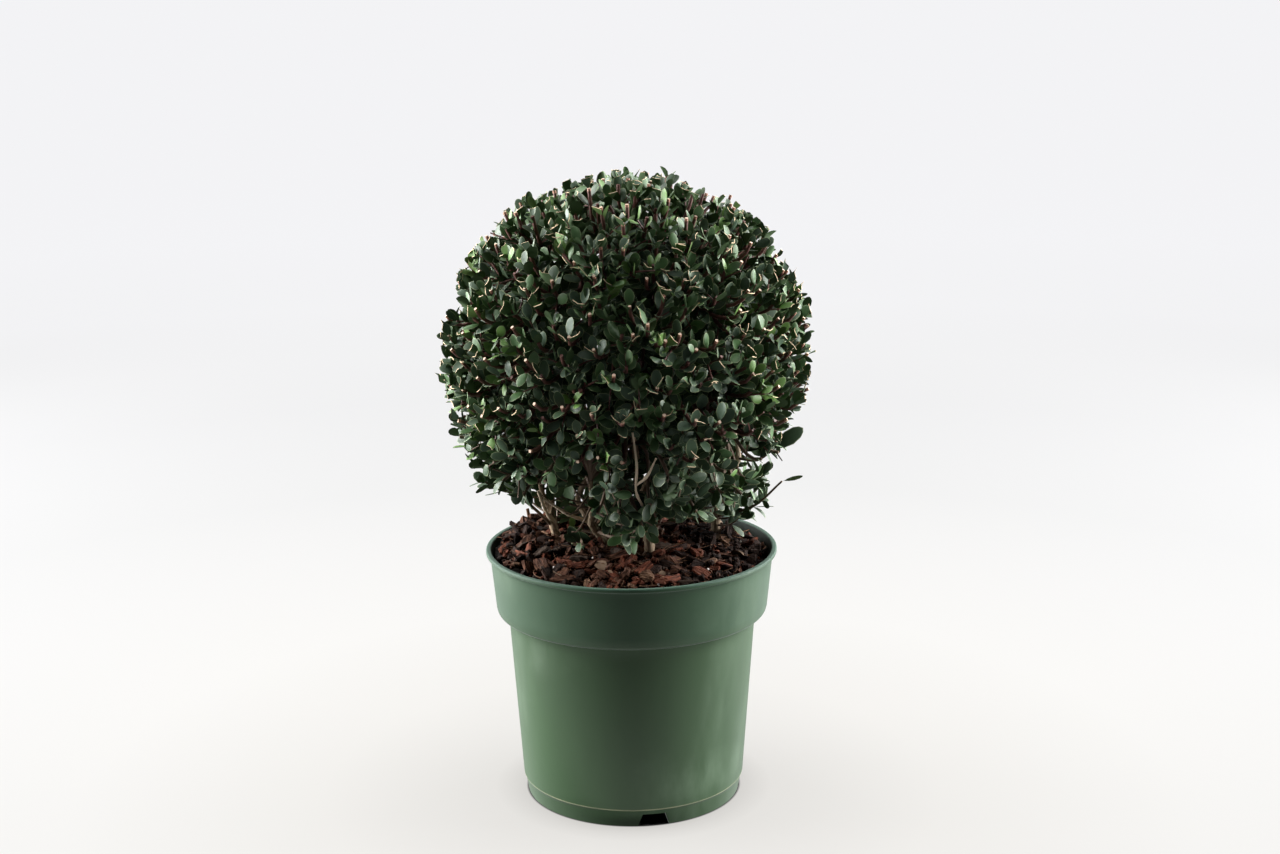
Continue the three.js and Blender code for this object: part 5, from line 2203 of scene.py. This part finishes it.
    def loose_bark(self, materials: list[Material], rng: Random) -> None:
        """Builds chips in two layers with large flakes on them, and crumbs between them.

        Args:
            materials: Materials in the order of ChipSlot.
            rng: Random numbers.
        """
        lower = self.places(self.lower_chips, rng)
        upper = self.places(self.upper_chips, rng)
        spots = np.concatenate([lower, upper])
        many = len(spots)
        long, wide = rng.gamma(4.0, 3.7, many), rng.gamma(5.0, 1.7, many)
        sizes = np.stack([long, wide, rng.uniform(2.4, 6.0, many)], axis=1)
        sizes = np.clip(sizes, self.chip_least, self.chip_most)
        lift = np.concatenate([rng.uniform(-1.5, 0.8, len(lower)), rng.uniform(1.4, 3.4, len(upper))])
        slots = rng.choice(len(ChipSlot), many, p=self.chip_shares)
        # Painted shade: more chips towards the sides take the dark finish.
        damp = (spots[:, 0] > self.damp) & (rng.random(many) < self.damp_shares[0])
        damp |= (spots[:, 0] < -self.damp) & (rng.random(many) < self.damp_shares[1])
        slots = np.where(damp, ChipSlot.DARK, slots)
        chips = self.lumps(spots, sizes, lift, 0.42, 9, slots, rng)
        plan = np.array(self.flakes, float)
        sizes = np.concatenate([plan[:, 2:4], rng.uniform(2.4, 4.2, (len(plan), 1))], axis=1)
        lift = rng.uniform(2.6, 4.0, len(plan))
        flakes = self.lumps(plan[:, :2], sizes, lift, 0.26, 12, plan[:, 4].astype(int), rng)
        chips = FaceSet.joined([chips, flakes])
        publish(chips.as_object("bark_chips", materials, 0), Slot.MULCH, "potting_mix")
        spots = self.places(self.crumbs, rng)
        many = len(spots)
        sizes = rng.uniform(1.4, 4.6, (many, 1)) * rng.uniform(0.55, 1.0, (many, 3))
        slots = rng.choice(len(ChipSlot), many, p=self.crumb_shares)
        crumbs = self.lumps(spots, sizes, rng.uniform(-1.8, 2.0, many), 0.5, 5, slots, rng)
        publish(crumbs.as_object("bark_crumbs", materials, 0), Slot.MULCH, "potting_mix")

    def litter(self, fibre: Material, dry: Material, white: Material, rng: Random) -> None:
        """Builds the fibres, sticks, dry leaves and white grains that lie on the bark.

        Args:
            fibre: Material of fibres and sticks.
            dry: Material of the leaves.
            white: Material of the grains.
            rng: Random numbers.
        """
        spots = self.places(self.fibres, rng)
        many = len(spots)
        heading = direction(rng.uniform(0, 360, many), 90)
        length = rng.gamma(3.0, 4.5, (many, 1)) + 5
        side = np.cross(heading, UP) * rng.normal(0, 0.25, (many, 1)) * length
        middle = self.on_top(spots, rng.uniform(1.2, 3.6, many))
        rise = UP * rng.normal(0, 1.2, (many, 1))
        start, end = middle - heading * length / 2 - rise, middle + heading * length / 2 + rise
        bowed = middle + side
        paths = self.within(arcs(start, bowed - heading * length / 5, bowed + heading * length / 5, end, 7))
        radii = np.repeat(rng.uniform(0.15, 0.42, (many, 1)), 7, axis=1)
        feet, lean = np.array(self.stubs), np.array(self.stub_leans)
        sticks = arcs(feet, feet + lean * 0.3, feet + lean * 0.7, feet + lean, 7)
        thick = np.full(sticks.shape[:2], self.stub_radius)
        wood = FaceSet.joined([rods(paths, radii, 4, RodSlots()), rods(sticks, thick, 6, RodSlots())])
        publish(wood.as_object("mulch_fibres", [fibre], 80), Slot.MULCH, "potting_mix")
        spots = self.places(self.dry_leaves, rng)
        many = len(spots)
        root = self.on_top(spots, 3.0)
        axis = unit(direction(rng.uniform(0, 360, many), 90) + UP * rng.normal(0, 0.15, (many, 1)))
        face = square_to(unit(UP + rng.normal(0, 0.35, (many, 3))), axis)
        length = rng.uniform(11, 21, many)
        none = np.zeros(many, int)
        shape = self.curled.build(Leaves.whole(root, axis, face, length, length * 0.55, none, none), rng)
        shape.slots[:] = 0
        shape.points = self.within(shape.points)
        publish(shape.as_object("dry_leaves", [dry], 75), Slot.MULCH, "potting_mix")
        spots = self.places(self.white_bits, rng)
        many = len(spots)
        sizes = rng.uniform(1.0, 2.4, (many, 1)) * rng.uniform(0.7, 1.0, (many, 3))
        bits = self.lumps(spots, sizes, rng.uniform(1.5, 3.4, many), 0.5, 6, np.zeros(many, int), rng)
        publish(bits.as_object("white_grains", [white], 60), Slot.MULCH, "potting_mix")


# Studio


@dataclass(frozen=True)
class Softbox:
    """A soft light: where it is, where it aims, its width and height and its power."""

    name: str
    place: Point
    aim: Point
    size: Span
    power: float


@dataclass
class Studio:
    """Pale floor, soft light and a camera at the photograph's viewing angle, in metres."""

    eye: Point = (0.0075, -1.5232, 0.6647)
    pitch: float = 13.53
    roll: float = -0.45
    lens: float = 56.25
    sensor: float = 36.0
    floor_size: float = 80.0
    tones: tuple[tuple[float, Colour], ...] = (  # of the floor's glow, at distances from the axis; the darker tones close to the pot are a painted shadow
        (0.085, (0.585, 0.570, 0.545)),
        (0.11, (0.710, 0.694, 0.666)),
        (0.25, (0.785, 0.770, 0.742)),
        (0.45, (0.815, 0.806, 0.787)),
        (0.70, (0.790, 0.785, 0.777)),
        (0.95, (0.760, 0.760, 0.758)),
        (1.15, (0.766, 0.766, 0.768)),
        (1.45, (0.778, 0.778, 0.784)),
        (1.80, (0.818, 0.818, 0.825)),
        (2.30, (0.855, 0.855, 0.868)),
        (3.20, (0.872, 0.872, 0.890)),
    )
    dark_under: Span = (0.0856, 0.0874)  # where the shadow under the pot ends
    shade: float = 0.03
    seen: Colour = (0.90, 0.90, 0.91)  # the room in the picture
    tint: Colour = (0.98, 0.98, 1.0)  # of the room's light
    below: Point = (0.15, -0.35, 0.36)  # height where light from below starts and is full, and its strength
    behind: Point = (-0.1, 0.7, 0.05)  # depth where light from behind starts and is full, and its strength
    sky_strength: float = 2.8
    sky_spread: float = 100.0
    sky_tilt: float = 25.0
    lights: tuple[Softbox, ...] = (
        Softbox("left", (-1.6, 0.17, 0.68), (0.0, 0.0, 0.36), (0.9, 1.4), 106.0),
        Softbox("right", (1.6, 0.14, 0.68), (0.0, 0.0, 0.36), (0.9, 1.4), 92.0),
        Softbox("rim left", (-1.3, 0.9, 0.9), (0.0, 0.0, 0.28), (0.9, 1.4), 62.0),
        Softbox("rim right", (1.3, 0.9, 0.9), (0.0, 0.0, 0.28), (0.9, 1.4), 62.0),
        Softbox("bounce", (0.0, -0.17, 0.004), (0.0, -0.17, 1.0), (0.5, 0.15), 0.21),
    )

    def camera(self) -> None:
        """Makes the camera: level sideways apart from its roll, tilted down by its pitch."""
        data = bpy.data.cameras.new("camera")
        data.lens, data.sensor_width = self.lens, self.sensor
        made = new_object("camera", data)
        tilt = Matrix.Rotation(math.radians(90 - self.pitch), 4, "X")
        roll = Matrix.Rotation(math.radians(self.roll), 4, "Z")
        made.matrix_world = Matrix.Translation(self.eye) @ tilt @ roll
        bpy.context.scene.camera = made

    def light(self) -> None:
        """Hangs the light above and the soft lights."""
        sky = bpy.data.lights.new("overhead", "SUN")
        sky.energy, sky.angle = self.sky_strength, math.radians(self.sky_spread)
        new_object("overhead", sky).rotation_euler = (math.radians(-self.sky_tilt), 0.0, 0.0)
        for box in self.lights:
            data = bpy.data.lights.new(box.name, "AREA")
            data.shape = "RECTANGLE"
            data.size, data.size_y = box.size
            data.energy = box.power
            made = new_object(box.name, data)
            made.location = box.place
            aim = Vector(box.aim) - Vector(box.place)
            made.rotation_euler = aim.to_track_quat("-Z", "Y").to_euler()
            made.visible_camera = False

    def room(self) -> None:
        """Sets the room's light from below and behind, and its plain colour in the picture."""
        world = bpy.data.worlds.new("room")
        world.use_nodes = True
        nodes, wiring = world.node_tree.nodes, Wiring(world.node_tree)
        _, depth, height = wiring.split("Generated")
        below, behind = (
            wiring.times(wiring.ramp(way, start, full), strength)
            for way, (start, full, strength) in ((height, self.below), (depth, self.behind))
        )
        lit = wiring.add("Background", Color=self.tint, Strength=wiring.sum(below, behind))
        shown = wiring.fill(nodes["Background"], Color=self.seen)
        both = wiring.add("MixShader", Fac=wiring.add("LightPath").outputs["Is Camera Ray"])
        wiring.feed(both.inputs[1], lit.outputs[0])
        wiring.feed(both.inputs[2], shown.outputs[0])
        wiring.fill(nodes["World Output"], Surface=both.outputs[0])
        bpy.context.scene.world = world
        bpy.context.scene.view_settings.view_transform = "Standard"

    def floor(self) -> None:
        """Lays the pale floor, which shines in its tones, has a painted shadow round and under the pot, and
        lights nothing else.
        """
        grey = (self.shade, self.shade, self.shade)
        material, wiring, shader = new_material(
            "pale_floor", Specular_IOR_Level=0.0, Emission_Strength=1.0, Base_Color=grey, Roughness=0.8
        )
        away = wiring.add("VectorMath", Vector=wiring.add("TexCoord").outputs["Object"])
        away.operation = "LENGTH"
        distance = away.outputs["Value"]
        furthest = self.tones[-1][0]
        ramp = wiring.add("ValToRGB", Fac=wiring.math("DIVIDE", distance, furthest))
        stops = ramp.color_ramp.elements
        for place, _ in self.tones[1:-1]:
            stops.new(place / furthest)
        for stop, (place, tone) in zip(stops, self.tones):
            stop.position = place / furthest
            stop.color = (*tone, 1.0)
        # Painted shadow: black under the pot's foot and a little beyond it.
        lit = wiring.ramp(distance, *self.dark_under)
        wiring.fill(shader, Emission_Color=wiring.mix(lit, (0.0, 0.0, 0.0), ramp.outputs[0]))
        half = self.floor_size / 2 / MM
        corners = np.array([(-half, -half, 0), (half, -half, 0), (half, half, 0), (-half, half, 0)], float)
        floor = FaceSet.of(corners, [(np.array([[0, 1, 2, 3]]), 0)]).as_object("floor", [material], 0)
        floor.visible_diffuse = False
        floor.visible_glossy = False


# Finishes


LEAF_FINISHES = (
    PlainFinish("leaf_deep", (0.025, 0.051, 0.022), (0.46, 0.62), 0.25, 0.3),
    PlainFinish("leaf_green", (0.042, 0.092, 0.029), (0.46, 0.62), 0.25, 0.3),
    PlainFinish("leaf_bluish", (0.038, 0.071, 0.039), (0.44, 0.6), 0.25, 0.32),
    PlainFinish("leaf_fresh", (0.072, 0.148, 0.028), (0.48, 0.64), 0.25, 0.3),
    PlainFinish("leaf_under", (0.043, 0.076, 0.029), (0.6, 0.75), 0.35, 0.2),
    PlainFinish("leaf_under_fresh", (0.074, 0.124, 0.035), (0.6, 0.75), 0.35, 0.2),
    # The rim: the leaf's pale margin, made paler still by a painted highlight along the edge.
    PlainFinish("leaf_rim", (0.165, 0.20, 0.10), (0.5, 0.65), 0.2, 0.3),
    PlainFinish("leaf_cut_edge", (0.66, 0.51, 0.33), (0.7, 0.85), 0.3, 0.2),
)
TWIG_FINISHES = (
    PlainFinish("twig_red_brown", (0.086, 0.030, 0.022), (0.5, 0.7), 0.5, 0.4),
    PlainFinish("twig_old", (0.098, 0.064, 0.041), (0.6, 0.8), 0.6, 0.3),
    # Bare wood: pale dry wood, made paler still as painted light for the shade that the snags stand in.
    PlainFinish("twig_bare", (0.560, 0.450, 0.320), (0.65, 0.85), 0.7, 0.3),
    PlainFinish("twig_young_end", (0.30, 0.145, 0.095), (0.5, 0.7), 0.4, 0.4),
    PlainFinish("twig_cut", (0.56, 0.42, 0.31), (0.7, 0.85), 0.3, 0.3),
)
# Painted shade: the lip is the same plastic, given a cooler, bluer green of its own.
POT_RIM_SHADE = PotFinish(
    "pot_rim", (0.029, 0.066, 0.042), (0.022, 0.050, 0.032), (0.05, 0.08, 0.06), (0.6, 0.75),
    specular=0.2, dust=0.03, cool=0.0
)
# The inside: a nearly black green, partly dirt and partly painted shade.
POT_INSIDE_DIRT_AND_SHADE = PotFinish(
    "pot_inside", (0.010, 0.022, 0.012), (0.007, 0.015, 0.008), (0.03, 0.035, 0.025), (0.6, 0.8),
    specular=0.2, dust=0.0, cool=0.0
)
BARK_FINISH = FibreFinish("stem_bark", (0.15, 0.100, 0.064), (0.38, 0.29, 0.20), (0.27, 0.21, 0.14))
CHIP_FIBRES = (60.0, 560.0)
CHIP_FINISHES = tuple(
    FibreFinish(name, *colours, CHIP_FIBRES)
    for name, *colours in (
        ("chip_red", (0.012, 0.0028, 0.0015), (0.122, 0.036, 0.018), (0.058, 0.020, 0.011)),
        ("chip_brown", (0.010, 0.0034, 0.0020), (0.094, 0.041, 0.023), (0.046, 0.021, 0.013)),
        ("chip_dark", (0.003, 0.0016, 0.0010), (0.018, 0.0075, 0.0042), (0.010, 0.0047, 0.003)),
        ("chip_pale", (0.030, 0.012, 0.006), (0.150, 0.084, 0.050), (0.075, 0.041, 0.025)),
        ("chip_grey", (0.015, 0.010, 0.007), (0.062, 0.042, 0.031), (0.034, 0.023, 0.017)),
    )
)
BED_FINISH = FibreFinish("mulch_bed", (0.003, 0.0015, 0.0010), (0.009, 0.004, 0.0025), (0.006, 0.003, 0.002))
FIBRE_FINISH = FibreFinish("mulch_fibre", (0.045, 0.022, 0.012), (0.190, 0.100, 0.055), (0.105, 0.055, 0.033))
DRY_FINISH = PlainFinish("dry_leaf", (0.095, 0.060, 0.036), (0.6, 0.8), 0.5, 0.2)
WHITE_FINISH = PlainFinish("white_grain", (0.38, 0.34, 0.32), (0.7, 0.85), 0.5, 0.2)


def main() -> None:
    """Builds the studio, the pot, the mulch, the limbs and the foliage, in that order."""
    logging.basicConfig(level=logging.INFO, format="%(name)s: %(message)s")
    LOG.info("%d solids in the frame", len(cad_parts))
    effects = Effects()
    studio = Studio()
    studio.camera()
    studio.light()
    studio.room()
    studio.floor()
    crown = Crown()
    clump = Clump(crown)
    clump.grow()
    leaf = [finish.material(effects) for finish in LEAF_FINISHES]
    twig = [finish.material(effects) for finish in TWIG_FINISHES]
    Pot().build(*(finish.material(effects) for finish in (PotFinish(), POT_RIM_SHADE, POT_INSIDE_DIRT_AND_SHADE)))
    mulch = Mulch(clump)
    mulch.bed(BED_FINISH.material(effects))
    mulch.loose_bark([finish.material(effects) for finish in CHIP_FINISHES], np.random.default_rng(41))
    litter = (finish.material(effects) for finish in (FIBRE_FINISH, DRY_FINISH, WHITE_FINISH))
    mulch.litter(*litter, np.random.default_rng(42))
    clump.build(BARK_FINISH.material(effects), np.random.default_rng(43))
    foliage = Foliage(crown, clump, np.random.default_rng(44))
    foliage.build(leaf, twig)
    Sprigs(clump, foliage).build(leaf, twig, np.random.default_rng(45))


if __name__ == "__main__":
    main()
